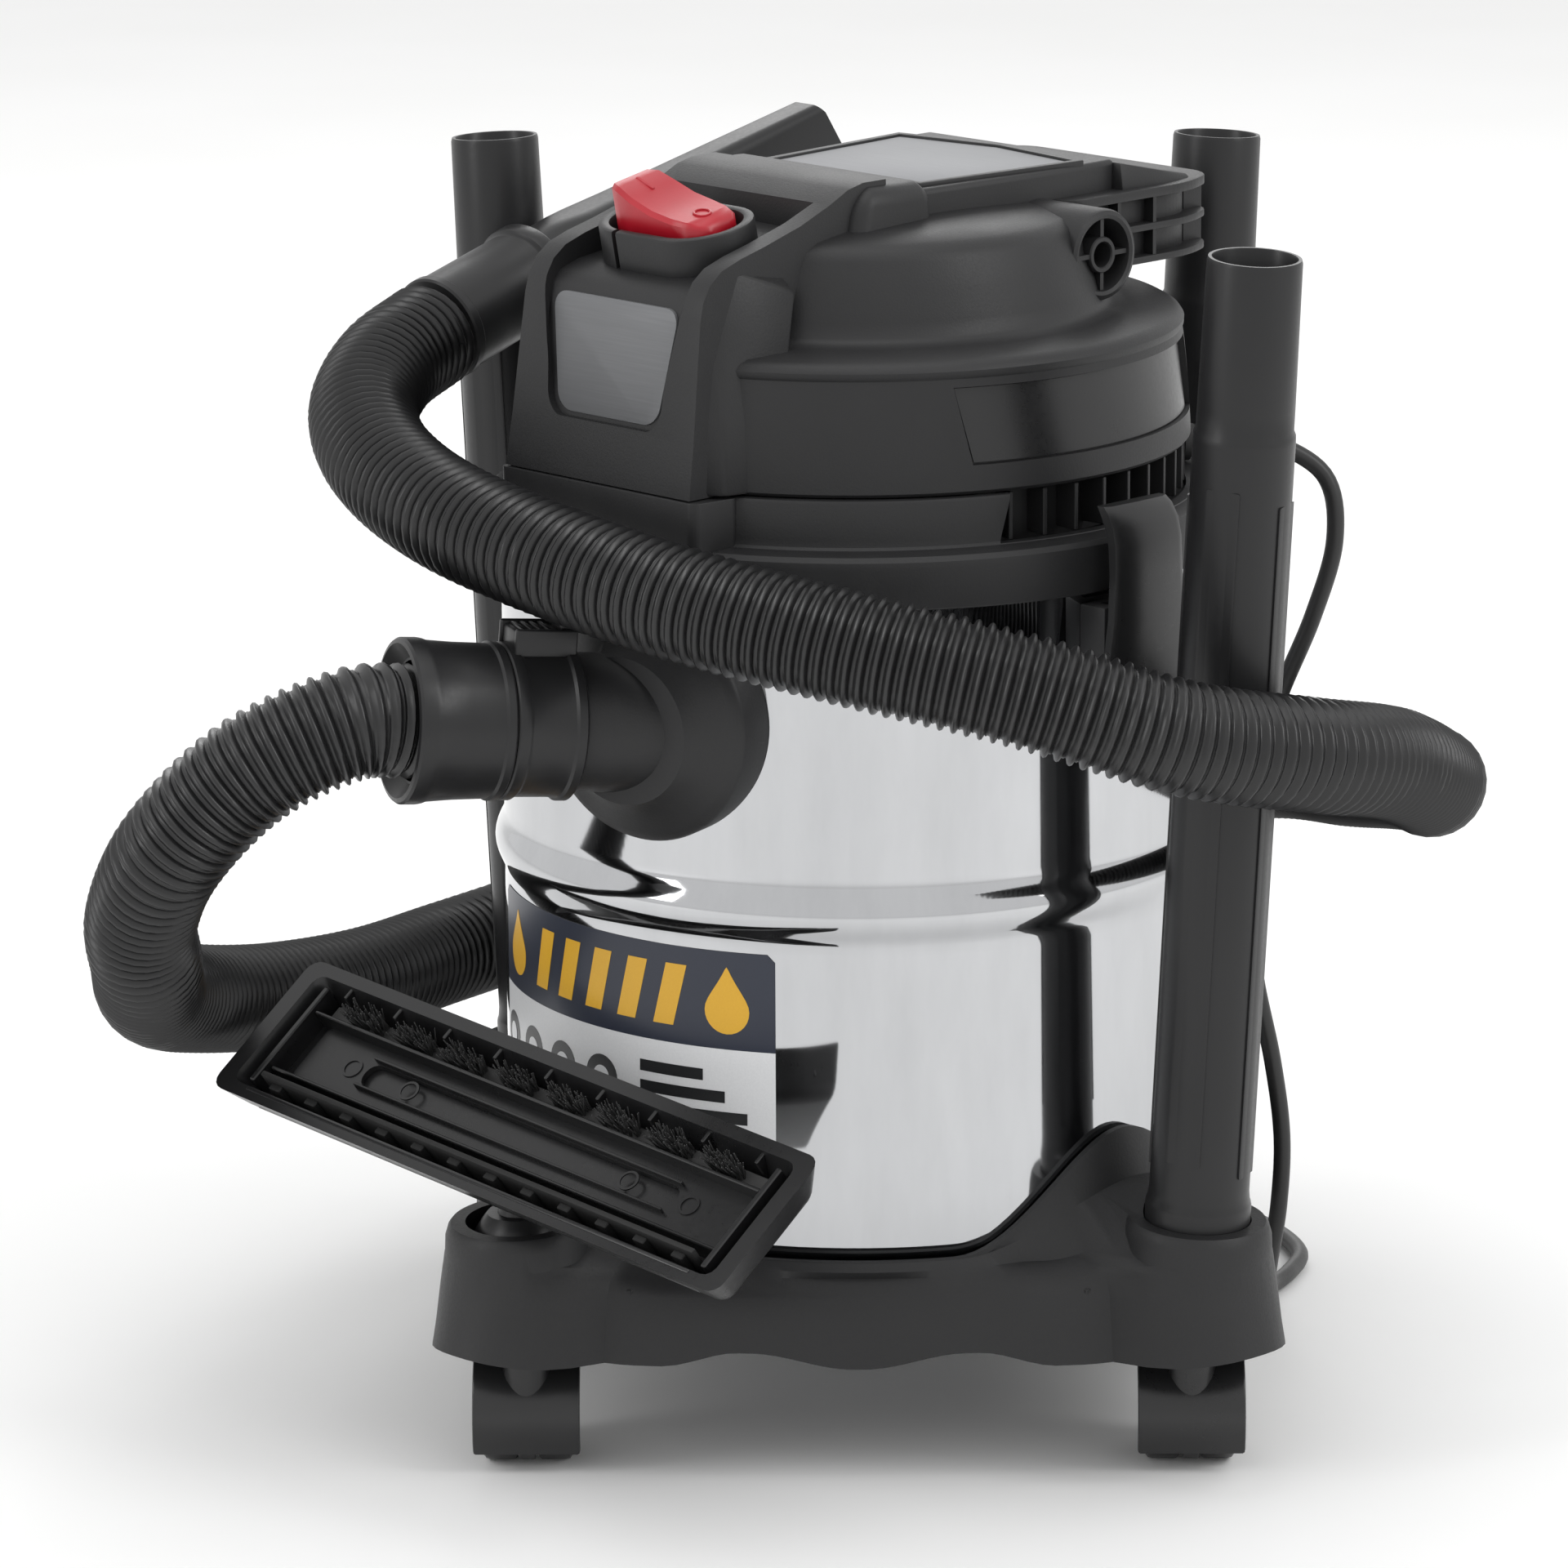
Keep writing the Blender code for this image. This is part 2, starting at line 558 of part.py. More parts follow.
def console_loops(grow):
    """Sections of the front console from its foot to its ridge, each a rounded rectangle."""
    out = []
    for z, y0, y1, half in ((COVER_Z, -137.0, -60.0, 50.0), (405.0, -133.0, -60.0, 49.0), (440.0, -127.0, -50.0, 47.0),
                            (455.0, -119.0, -45.0, 46.0), (462.0, -112.0, -32.0, 46.0)):
        pts = rounded_rect(2 * (half - grow), (y1 - y0) - 2 * grow, 9.0, 3)
        cy = (y0 + y1) / 2
        out.append([(x, cy + y, z - (grow if z > 460 else 0)) for x, y in pts])
    return out


def make_head_cover():
    """Upper housing: a wide tier, a shoulder, a narrower tier and the front console grown out of them."""
    outer = [(0, COVER_Z), (128.5, COVER_Z), (127.0, 400), (124.5, SHOULDER_Z), (120.0, 427.0),
             (97.0, TIER_Z), (94.5, 434.0), (88.5, 458.0), (84.0, 463.0), (40.0, 468.0), (0, 469.0)]
    body = lathe(outer, 56)
    slab = [(-46, -20), (46, -20), (50, 60), (50, 92), (-50, 92), (-50, 60)]
    crown = loft([[(x * 0.96, y * 0.98, 448) for x, y in slab], [(x, y, 470) for x, y in slab],
                  [(x * 0.98, y * 0.99, TOP_Z) for x, y in slab]])
    console = loft(console_loops(0.0))
    ridge = loft([[(-53, -58, 448), (53, -58, 448), (53, -8, 448), (-53, -8, 448)],
                  [(-53, -56, 466), (53, -56, 466), (53, -10, 468), (-53, -10, 468)],
                  [(-50, -40, 482), (50, -40, 482), (50, -14, 481), (-50, -14, 481)]])
    hollow = [(0, 340), (125.6, 340), (125.0, 380), (124.0, 400), (121.5, 420.0), (117.0, 423.8), (94.0, 425.3),
              (91.5, 433.0), (85.5, 455.5), (82.0, 459.8), (38.0, 464.8), (0, 465.8)]
    inside = lathe(hollow, 48)
    room = loft(console_loops(3.0))
    drop = Matrix.Translation((0, 0, -1.5))
    bmesh.ops.transform(room, matrix=drop, verts=room.verts)
    low_room = box(-46.0, 46.0, -133.2, -70, 360, 374)
    cup = [(x, -94.0 + y) for x, y in rounded_rect(58, 34, 16.5, 5)]
    well = loft([[(x, y, 440) for x, y in cup], [(x, y, 480) for x, y in cup]])
    tools = [("UNION", crown), ("UNION", console), ("UNION", ridge), ("DIFFERENCE", inside), ("DIFFERENCE", room),
             ("DIFFERENCE", low_room), ("DIFFERENCE", box(-43, 43, -116.2, -60, 462.0, 500)),
             ("DIFFERENCE", well)]
    return combine("head_cover", body, tools, "black_plastic")


def make_front_plate():
    """Grey inset on the sloping front of the console."""
    lean = math.atan2(6.0, 35.0)
    pts = rounded_rect(70, 52, 9, 4)
    bm = loft([[(x, 0.0, y) for x, y in pts], [(x, -1.6, y) for x, y in pts]])
    m = Matrix.Translation((0, -130.5, 421.5)) @ Matrix.Rotation(-lean, 4, "X")
    return place("front_plate", bm, "grey_plate", m)


def make_top_plate():
    """Grey inset on the crown of the head, wider at the back."""
    pts = [(-39, -4), (39, -4), (46, 70), (0, 76), (-46, 70)]
    bm = loft([[(x, y, TOP_Z + 0.3) for x, y in pts], [(x, y, TOP_Z + 1.9) for x, y in pts]])
    return place("top_plate", bm, "grey_plate")


def make_handle():
    """Carrying handle across the back of the head, with a hollow boss at each side."""
    outer = [(-61, 58), (-61, 122), (-56, 138), (-46, 146), (46, 146), (56, 138), (61, 122), (61, 58)]
    gap = [(-50.4, 40), (-50.4, 92.4), (-45, 93), (-44, 122), (-38, 129), (38, 129), (44, 122), (45, 93),
           (50.4, 92.4), (50.4, 40)]
    body = loft([[(x, y, 437) for x, y in outer], [(x, y, 465) for x, y in outer]])
    hand = loft([[(x, y, 410) for x, y in gap], [(x, y, 500) for x, y in gap]])
    crown = lathe([(0, 400), (129.0, 400), (125.0, SHOULDER_Z), (120.4, 427.4), (97.4, TIER_Z + 0.4),
                   (94.9, 434.3), (88.9, 458.2), (84.2, 463.4), (40.0, 468.4), (0, 469.4)], 56)
    tools = [("DIFFERENCE", hand)]
    for s in (-1, 1):
        boss = rod((s * 51, 54, 451), (s * 79, 54, 451), 17.5, 28)
        tools.append(("UNION", boss))
    tools.append(("DIFFERENCE", crown))
    for s in (-1, 1):
        tools.append(("DIFFERENCE", rod((s * 64, 54, 451), (s * 95, 54, 451), 12.5, 24)))
    for z in (444.5, 457.5):
        tools.append(("DIFFERENCE", box(-39, 39, 137, 150, z - 4.6, z + 4.6)))
    return combine("handle", body, tools, "black_plastic")


def make_switch():
    """Oval cup in the console, the snap-in switch body and the red rocker on its pivot."""
    outer = [(x, -94.0 + y) for x, y in rounded_rect(66, 42, 20.5, 6)]
    throat = [(x, -94.0 + y) for x, y in rounded_rect(57.2, 33.2, 16.0, 6)]
    inner = [(x, -94.0 + y) for x, y in rounded_rect(53, 29, 14.0, 6)]
    cup = loft([[(x, y, 462.4) for x, y in outer], [(x, y, 474) for x, y in outer]])
    plug = loft([[(x, y, 452) for x, y in throat], [(x, y, 463) for x, y in throat]])
    hole = loft([[(x, y, 455) for x, y in inner], [(x, y, 480) for x, y in inner]])
    tools = [("UNION", plug), ("DIFFERENCE", hole)]
    for s in (-1, 1):
        pin = rod((0, -94 + s * 13.2, 466), (0, -94 + s * 15, 466), 2.0, 12)
        tools.append(("UNION", pin))
    combine("switch_cup", cup, tools, "black_plastic")
    place("switch_body", box(-14, 14, -103, -85, 430, 451.6), "smooth_black")
    sections = []
    for x, half, low, high in ((-22.6, 6.5, 463.5, 481.5), (-19.5, 9.5, 462.0, 485.5), (-12.0, 12.2, 459.0, 482.5),
                               (0.0, 12.6, 457.5, 477.8), (12.0, 12.2, 459.0, 475.6), (19.5, 9.5, 464.0, 474.3),
                               (22.6, 6.5, 465.0, 472.0)):
        sections.append([(x, -94 - half, low), (x, -94 + half, low), (x, -94 + half, high), (x, -94 - half, high)])
    rocker = loft(sections)
    cut = rod((0, -110, 466), (0, -78, 466), 2.3, 16)
    combine("rocker_switch", rocker, [("DIFFERENCE", cut)], "red_plastic", None, (0, -94, 466))


def make_motor():
    """Bypass motor above the deck, its fan below in a housing, and the filter under them."""
    place("motor_can", lathe([(0, 372.6), (48, 372.6), (50, 376), (50, 430), (40, 448), (0, 452)], 28), "zinc_steel")
    fan_case = lathe([(32.0, 354.5), (66.0, 354.5), (66.0, 372.0), (9.0, 372.0), (9.0, 369.5), (63.5, 369.5),
                      (63.5, 357.0), (32.0, 357.0)], 32)
    place("fan_housing", fan_case, "zinc_steel")
    disc = lathe([(0, 358.0), (58, 358.0), (58, 359.2), (8, 359.2), (8, 367.0), (3.6, 368.0), (3.6, 372.1),
                  (0, 372.1)], 28)
    tools = []
    for i in range(8):
        blade = box(12, 56, -0.8, 0.8, 359.0, 367.5)
        bmesh.ops.transform(blade, matrix=turn_z(45 * i), verts=blade.verts)
        tools.append(("UNION", blade))
    combine("fan_impeller", disc, tools, "zinc_steel", None, (0, 0, 363))


def make_filter():
    """Cage under the deck with the float inside it, and the pleated cartridge round the cage."""
    cage = lathe([(30.0, 253.0), (38.0, 253.0), (38.0, 344.0), (46.0, 344.0), (46.0, 350.2), (43.0, 350.2),
                  (36.0, 347.0), (36.0, 257.0), (30.0, 257.0)], 28)
    tools = []
    for i in range(4):
        slot = box(30, 45, -12, 12, 266, 336)
        bmesh.ops.transform(slot, matrix=turn_z(90 * i), verts=slot.verts)
        tools.append(("DIFFERENCE", slot))
    combine("filter_cage", cage, tools, "black_plastic")
    place("float", lathe([(0, 259), (20, 259), (27, 266), (27, 284), (22, 292), (0, 296)], 20), "rubber",
          None, (0, 0, 259))
    loops = []
    steps = 60
    for i in range(steps):
        a = 2 * math.pi * i / steps
        out_r = 72.0 if i % 2 else 64.0
        in_r = 54.0 if i % 2 else 46.0
        c = math.cos(a)
        s = math.sin(a)
        loops.append([(in_r * c, in_r * s, 239), (out_r * c, out_r * s, 239), (out_r * c, out_r * s, 340),
                      (in_r * c, in_r * s, 340)])
    place("cartridge_filter", loft(loops, closed_ring=True), "filter_paper")
    place("filter_top_ring", lathe([(46.6, 340.4), (75, 340.4), (75, 349.6), (50, 349.6), (46.6, 346)], 32), "rubber")
    place("filter_end_cap", lathe([(0, 233), (74, 233), (74, 238.6), (12, 238.6), (12, 252.4), (0, 252.4)], 32),
          "black_plastic")
    place("tank_gasket", lathe([(128.5, 342.4), (137.6, 342.4), (137.6, 350.2), (128.5, 350.2)], 48), "rubber")


def make_gland():
    """Cord sleeve through the rear wall of the head."""
    a = math.radians(60)
    d = Vector((math.cos(a), math.sin(a), 0))
    p = Vector((0, 0, 366.0))
    bm = rod(p + d * 116.2, p + d * 144.0, 6.4, 20, 5.0)
    collar = rod(p + d * 130.6, p + d * 133.6, 8.0, 20)
    combine("cord_gland", bm, [("UNION", collar)], "rubber")


# ---------------------------------------------------------------- tools

def nozzle_matrix():
    """Frame of the parked floor nozzle: X along it, -Y towards the front edge, Z out of its sole."""
    at = Matrix.Translation((4.0, -190.0, 141.0))
    yaw = Matrix.Rotation(math.radians(1.0), 4, "Z")
    drop = Matrix.Rotation(math.radians(5.0), 4, "Y")
    tilt = Matrix.Rotation(math.radians(38.0), 4, "X")
    return at @ yaw @ drop @ tilt


def make_nozzle():
    """Floor nozzle parked with its sole up: neck in the front socket, hinged head, brush strip and lip."""
    m = nozzle_matrix()
    hub = m @ Vector((0, 0, -26))
    foot = post_matrix(POST_ANGLES["front"])
    neck = lathe([(0, 3.2), (FOOT_R - 2.2, 3.2), (FOOT_R - 2.2, 34), (12.0, 41), (0, 41)], 28)
    bmesh.ops.transform(neck, matrix=foot, verts=neck.verts)
    top = foot @ Vector((0, 0, 37.0))
    side = (m.to_3x3() @ Vector((1, 0, 0))).normalized()
    eye = rod(hub - side * 12, hub + side * 12, 10.0, 28)
    link = rod(top, hub, 9.0, 20)
    tools = [("UNION", link), ("UNION", eye),
             ("DIFFERENCE", rod(hub - side * 30, hub + side * 30, 4.3, 20)),
             ("DIFFERENCE", rod(foot @ Vector((0, 0, 0)), foot @ Vector((0, 0, 31)), FOOT_R - 5.0, 28))]
    combine("nozzle_neck", neck, tools, "black_plastic")
    half = NOZZLE_L / 2
    w = NOZZLE_W / 2
    shell = []
    for z, hx, hy in ((-19.0, half - 16, w - 15), (-15.0, half - 8, w - 7), (-8.0, half - 2, w - 2), (0.0, half, w)):
        shell.append([(x, y, z) for x, y in rounded_rect(2 * hx, 2 * hy, 7, 3)])
    body = loft(shell)
    tray = loft([[(x, y, -12.0) for x, y in rounded_rect(NOZZLE_L - 22, NOZZLE_W - 18, 5, 3)],
                 [(x, y, 5.0) for x, y in rounded_rect(NOZZLE_L - 12, NOZZLE_W - 8, 5, 3)]])
    ear_hub = Vector((0, 0, -26))
    tools = [("DIFFERENCE", tray), ("DIFFERENCE", box(-13.2, 13.2, -12.5, 12.5, -40, -13.8))]
    for s in (-1, 1):
        ear = box(min(s * 13.2, s * 18), max(s * 13.2, s * 18), -9, 9, -33, -15)
        tools.append(("UNION", ear))
    tools.append(("UNION", rod(ear_hub + Vector((-16, 0, 0)), ear_hub + Vector((16, 0, 0)), 4.0, 20)))
    combine("nozzle_head", body, tools, "black_plastic", m, hub)
    strip = box(-118, 118, 16.0, 22.0, -11.6, 1.6)
    place("nozzle_brush", strip, "bristle", m)
    lip = box(-118, 118, -22.0, -19.5, -11.6, 2.0)
    place("nozzle_lip", lip, "rubber", m)
    frame = loft([[(x, y, -11.7) for x, y in rounded_rect(232, 28, 4, 3)],
                  [(x, y - 1.0, -9.0) for x, y in rounded_rect(232, 26, 4, 3)]])
    slot = loft([[(x, y, -20) for x, y in rounded_rect(170, 12, 5, 3)],
                 [(x, y, 5) for x, y in rounded_rect(170, 12, 5, 3)]])
    combine("nozzle_sole", frame, [("DIFFERENCE", slot)], "black_plastic", m)


def make_hose_end():
    """Smooth cuff on the free end of the hose and the crevice tool pushed into it."""
    start = Vector((-156.8, -75.2, 406.2))
    heading = Vector((-0.10, 0.963, 0.25)).normalized()
    turn = Vector((0, 0, 1)).rotation_difference(heading).to_matrix().to_4x4()
    m = Matrix.Translation(start) @ turn
    cuff = lathe([(16.5, 0), (20.8, 0), (20.0, 50), (21.4, 52), (21.4, 58), (18.4, 58), (16.5, 52)], 24)
    place("end_cuff", cuff, "smooth_black", m)
    side = heading.cross(Vector((0, 0, 1))).normalized()
    lift = side.cross(heading)
    frame = Matrix((side, lift, heading)).transposed().to_4x4()
    tool_at = start + heading * 40.0
    axis2 = Vector((0.02, 0.97, 0.245)).normalized()
    side2 = axis2.cross(Vector((0, 0, 1))).normalized()
    lift2 = side2.cross(axis2)
    frame2 = Matrix((side2, lift2, axis2)).transposed().to_4x4()
    frame2.translation = tool_at + heading * 30.0
    loops = []
    for s, hx, hy, r in ((-30, 15.9, 15.9, 15.8), (-10, 15.9, 15.9, 15.8), (0, 16.2, 16.2, 15.0),
                         (18, 16.0, 15.5, 11.0), (60, 11.0, 14.5, 6.0), (158, 8.5, 13.0, 4.0)):
        pts = rounded_rect(2 * hx, 2 * hy, r, 4)
        blend = max(0.0, min(1.0, (s + 12) / 20.0))
        row = []
        for x, y in pts:
            a = frame2 @ Vector((x, y, s))
            b = (Matrix.Translation(start + heading * (70.0 + s)) @ frame) @ Vector((x, y, 0))
            row.append(b.lerp(a, blend))
        loops.append([tuple(p) for p in row])
    body = loft(loops)
    inner = []
    for s, hx, hy, r in ((-31, 13.5, 13.5, 13.0), (0, 13.4, 13.4, 12.0), (60, 8.4, 12.0, 4.0), (162, 6.0, 10.5, 3.0)):
        pts = rounded_rect(2 * hx, 2 * hy, r, 4)
        blend = max(0.0, min(1.0, (s + 12) / 20.0))
        row = []
        for x, y in pts:
            a = frame2 @ Vector((x, y, s))
            b = (Matrix.Translation(start + heading * (70.0 + s)) @ frame) @ Vector((x, y, 0))
            row.append(b.lerp(a, blend))
        inner.append([tuple(p) for p in row])
    combine("crevice_tool", body, [("DIFFERENCE", loft(inner))], "smooth_black")


def make_cord_end():
    """Neat coil of the spare cord on the floor behind the machine, and its plug."""
    cx, cy = COIL_AT
    mid = (COIL_OUT_R + COIL_IN_R) / 2
    half = (COIL_OUT_R - COIL_IN_R) / 2
    loop = []
    for i in range(8):
        a = 2 * math.pi * i / 8
        loop.append((mid + half * math.cos(a), COIL_H / 2 + COIL_H / 2 * math.sin(a)))
    place("cord_coil", lathe(loop, 28), "rubber", Matrix.Translation((cx, cy, 0.2)))
    nose = Vector(PLUG_NOSE)
    way = Vector((math.cos(PLUG_HEADING), math.sin(PLUG_HEADING), 0))
    across = Vector((-way.y, way.x, 0))
    tail = rod(nose - way * 8.0, nose + way * 16.0, 4.6, 16, 9.0)
    body = rod(nose + way * 15.0, nose + way * 48.0, 18.2, 24, 18.0)
    tools = [("UNION", body)]
    for s in (-1, 1):
        foot = nose + way * 47.0 + across * (s * 9.5)
        tools.append(("UNION", rod(foot, foot + way * 19.0, 2.4, 12)))
    combine("mains_plug", tail, tools, "rubber")


def main():
    clear_scene()
    make_drum()
    make_base()
    for side, angle in POST_ANGLES.items():
        make_caster(side, angle)
    for side in ("right", "back", "left"):
        make_tube(side, POST_ANGLES[side])
    make_label()
    make_inlet()
    make_latch("right", 0.0)
    make_latch("left", 180.0)
    make_head_housing()
    make_vent_grille()
    make_head_cover()
    make_front_plate()
    make_top_plate()
    make_handle()
    make_switch()
    make_motor()
    make_filter()
    make_gland()
    make_nozzle()
    make_hose_end()
    make_cord_end()
    flexible("suction_hose", HOSE_ROUTE, HOSE_STEP, HOSE_D, "rubber", 2)
    flexible("mains_cord", CORD_ROUTE, CORD_STEP, CORD_D, "rubber", 2)


main()
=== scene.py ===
"""Looks of the wet and dry shop vacuum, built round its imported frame.

Sizes are millimetres in the frame's own axes: the switch side faces -Y and heights are above the floor.
"""
import math
import random

import bmesh
import bpy
from mathutils import Matrix, Vector


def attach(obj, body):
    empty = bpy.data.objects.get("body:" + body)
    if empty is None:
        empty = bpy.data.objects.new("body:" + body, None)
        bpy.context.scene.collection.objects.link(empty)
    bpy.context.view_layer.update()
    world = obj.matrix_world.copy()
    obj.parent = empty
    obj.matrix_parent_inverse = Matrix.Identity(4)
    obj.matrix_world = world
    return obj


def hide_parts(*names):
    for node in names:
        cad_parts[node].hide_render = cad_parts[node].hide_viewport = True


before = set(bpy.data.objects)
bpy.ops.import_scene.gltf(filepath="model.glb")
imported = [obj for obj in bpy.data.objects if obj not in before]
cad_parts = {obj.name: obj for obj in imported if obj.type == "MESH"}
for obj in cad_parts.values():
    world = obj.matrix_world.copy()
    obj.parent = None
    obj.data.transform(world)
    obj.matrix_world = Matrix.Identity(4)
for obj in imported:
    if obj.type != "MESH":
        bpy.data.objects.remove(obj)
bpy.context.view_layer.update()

MM = 0.001
ROOT = "dolly_and_drum"
HEAD = "motor_head"
UP = Vector((0, 0, 1))

DRUM_R = 137.5
DRUM_WALL = 1.4
POST_R = 178.4
POST_AT = (POST_R, 0, 62)
FENDER_R = 33.0
WHEEL_R = 20
CASTER_TRAIL = -13
CASTER_HEADING = -45
POST_LEAN = math.radians(3.73)
SIDES = {"front": -90, "right": 0, "back": 90, "left": 180}
PORT_AT = Vector((31, -140, 291))
PORT_WAY = Vector((-0.42, -0.90, 0.085)).normalized()
FILM_LIFT = 0.15
MARK_LIFT = 0.27
DOT_LIFT = 0.4
CONSOLE_LEAN = math.radians(7)
CUP_PITCH = math.radians(11)
VENT_WINDOWS = ((-21, 74, 2.5), (106, 201, -2.5))
FLANK_PANELS = ((-25.3, 44, -3.1), (136, 205.3, 3.1))
PANEL_DRAW = 3.1

HOSE_D = 43.0
RIB_PITCH = 5.0
HOSE_ROUTE = [
    (-7.6, -222.8, 298.8), (-18, -246, 299.5), (-40, -275, 283), (-66, -291, 252), (-97, -281, 219),
    (-116, -264, 195), (-149, -233, 170), (-176, -189, 153), (-194, -135, 140), (-214, -70, 130),
    (-233, -5, 126), (-228, 65, 132), (-195, 132, 146), (-138, 190, 164), (-70, 228, 184), (2, 238, 202),
    (66, 216, 214), (118, 184, 228), (160, 151, 240), (196, 112, 252), (228, 52, 275), (240, -5, 290),
    (225, -58, 303), (186, -100, 321), (138, -136, 334), (78, -165, 346), (20, -178, 356), (-38, -178, 365),
    (-88, -165, 375), (-124, -143, 386), (-145.5, -113, 397), (-155.8, -80, 405),
]
HOSE_STEP = 2.5
CORD_D = 7.0
CORD_STEP = 3.0
CORD_ROUTE = [
    (72.3, 125.2, 366), (84, 143, 364), (99, 160, 350), (104, 161, 325), (101, 152, 295), (93, 141, 262),
    (84, 137, 228), (80, 138.5, 190), (82, 141, 150), (86, 148, 112), (88, 152, 80), (85, 154, 50),
    (75, 160, 22), (62, 174, 6.5), (52, 198, 4.2), (36, 222, 4.2), (0, 240, 4.0), (-45, 246, 3.8),
    (-90, 245, 3.7), (-130, 238, 3.7),
]
COIL_AT = (-170, 170)
COIL_ROWS = (46.4, 53.6, 60.8)
LAYER = 7.15
PLUG_NOSE = Vector((-246, 171, 18.4))
PLUG_HEADING = math.radians(228)

LENS = 169.8
CAMERA_AT = (1.9778, -1.9778, 0.931)
CAMERA_TURN = (-0.0102, 0.2433, 0.005)
SKY = 0.92
# Soft boxes: name, place in metres, watts, size in metres
LIGHTS = (("key", (2.3, 0.9, 2.0), 20, (0.7, 1.8)), ("fill", (-0.9, -2.6, 1.5), 14, (0.6, 1.8)),
          ("top", (0.2, -0.2, 2.6), 9, (1.6, 1.6)), ("rim", (-1.8, 1.9, 1.9), 12, (1.2, 1.2)))


# ------------------------------------------------------------ camera

def aim_camera():
    """Long lens a little above the switch corner of the machine."""
    data = bpy.data.cameras.new("camera")
    data.lens = LENS
    data.sensor_width = 36
    data.clip_end = 60
    camera = bpy.data.objects.new("camera", data)
    bpy.context.scene.collection.objects.link(camera)
    across = Vector((1, 1, 0)).normalized()
    towards = Vector((1, -1, 0)).normalized()
    yaw, pitch, roll = CAMERA_TURN
    level = math.sin(yaw) * across - math.cos(yaw) * towards
    ahead = math.cos(pitch) * level - math.sin(pitch) * UP
    right = ahead.cross(UP).normalized()
    top = right.cross(ahead)
    tilted = math.cos(roll) * right - math.sin(roll) * top
    head = math.sin(roll) * right + math.cos(roll) * top
    turn = Matrix((tilted, head, -ahead)).transposed()
    camera.matrix_world = Matrix.Translation(CAMERA_AT) @ turn.to_4x4()
    bpy.context.scene.camera = camera


aim_camera()


# ------------------------------------------------------------ colours and finishes

def linear(hex_colour):
    """sRGB hex to the linear colour that the shader takes."""
    out = []
    for i in (1, 3, 5):
        c = int(hex_colour[i:i + 2], 16) / 255
        out.append(c / 12.92 if c <= 0.04045 else ((c + 0.055) / 1.055) ** 2.4)
    return (*out, 1.0)


def add_node(tree, kind, links=None, values=None, **settings):
    """Adds one node, with its settings, its socket values and what feeds its sockets."""
    made = tree.nodes.new(kind)
    for key, value in settings.items():
        setattr(made, key, value)
    for socket, value in (values or {}).items():
        made.inputs[socket].default_value = value
    for socket, source in (links or {}).items():
        tree.links.new(source, made.inputs[socket])
    return made


def start_finish(name, metallic=0.0, ior=1.5, roughness=0.5):
    finish = bpy.data.materials.new(name)
    finish.use_nodes = True
    tree = finish.node_tree
    shader = tree.nodes["Principled BSDF"]
    shader.inputs["Metallic"].default_value = metallic
    shader.inputs["Roughness"].default_value = roughness
    if not metallic:
        shader.inputs["IOR"].default_value = ior
    place = add_node(tree, "ShaderNodeTexCoord").outputs["Object"]
    return finish, tree, shader, place


def moulded(name, dark, light, roughness, spread, grain_mm, depth_mm, patch_mm=45, ior=1.43):
    """Injection-moulded plastic: slow tone changes, a tool texture of the stated grain, uneven gloss."""
    finish, tree, shader, place = start_finish(name, ior=ior)
    patch = add_node(tree, "ShaderNodeTexNoise", {"Vector": place},
                     {"Scale": 1000 / patch_mm, "Detail": 4.0, "Roughness": 0.6})
    grain = add_node(tree, "ShaderNodeTexNoise", {"Vector": place},
                     {"Scale": 1000 / grain_mm, "Detail": 2.0, "Roughness": 0.5})
    tone = add_node(tree, "ShaderNodeMix", {"Factor": patch.outputs["Fac"]}, data_type="RGBA")
    tone.inputs["A"].default_value = linear(dark)
    tone.inputs["B"].default_value = linear(light)
    tree.links.new(tone.outputs["Result"], shader.inputs["Base Color"])
    mixed = add_node(tree, "ShaderNodeMath", {0: patch.outputs["Fac"], 1: grain.outputs["Fac"]}, operation="ADD")
    gloss = add_node(tree, "ShaderNodeMapRange", {"Value": mixed.outputs[0]},
                     {"From Min": 0.6, "From Max": 1.4, "To Min": roughness - spread, "To Max": roughness + spread})
    tree.links.new(gloss.outputs["Result"], shader.inputs["Roughness"])
    bump = add_node(tree, "ShaderNodeBump", {"Height": grain.outputs["Fac"]},
                    {"Strength": 0.55, "Distance": depth_mm * MM})
    tree.links.new(bump.outputs["Normal"], shader.inputs["Normal"])
    return finish


# Polypropylene from a spark-eroded mould: a leather-fine grain that breaks highlights into a soft sheen.
# The real grain is about 0.5 mm and is drawn at 0.9 mm so that it shows.
TEXTURED_PP = moulded("spark_textured_polypropylene", "#1c1c1d", "#272728", 0.47, 0.06, 0.9, 0.10)
# The dolly is the same plastic with a coarser, duller tool finish that is scuffed by the floor.
DOLLY_PP = moulded("coarse_textured_polypropylene", "#1b1b1c", "#262627", 0.50, 0.07, 1.1, 0.12)
# Extension tubes and cuffs come from a stoned mould: smooth, with broad semi-gloss highlights.
SMOOTH_PP = moulded("stoned_mould_polypropylene", "#19191a", "#232324", 0.36, 0.05, 1.6, 0.03, 70)
# Latches and the floor tool are ABS, glossier than the head.
GLOSS_ABS = moulded("semi_gloss_abs", "#161617", "#202021", 0.30, 0.05, 2.0, 0.02, 50, 1.53)
# Blown polyethylene of the hose: waxy and semi-gloss, a thin highlight on every rib.
HOSE_PE = moulded("blown_polyethylene_hose", "#141415", "#1d1d1e", 0.33, 0.06, 3.0, 0.02, 60, 1.51)
# Flexible PVC of the mains lead and plug, matt and slightly greasy.
CORD_PVC = moulded("flexible_pvc", "#151515", "#1e1e1e", 0.42, 0.05, 1.2, 0.03, 30, 1.53)
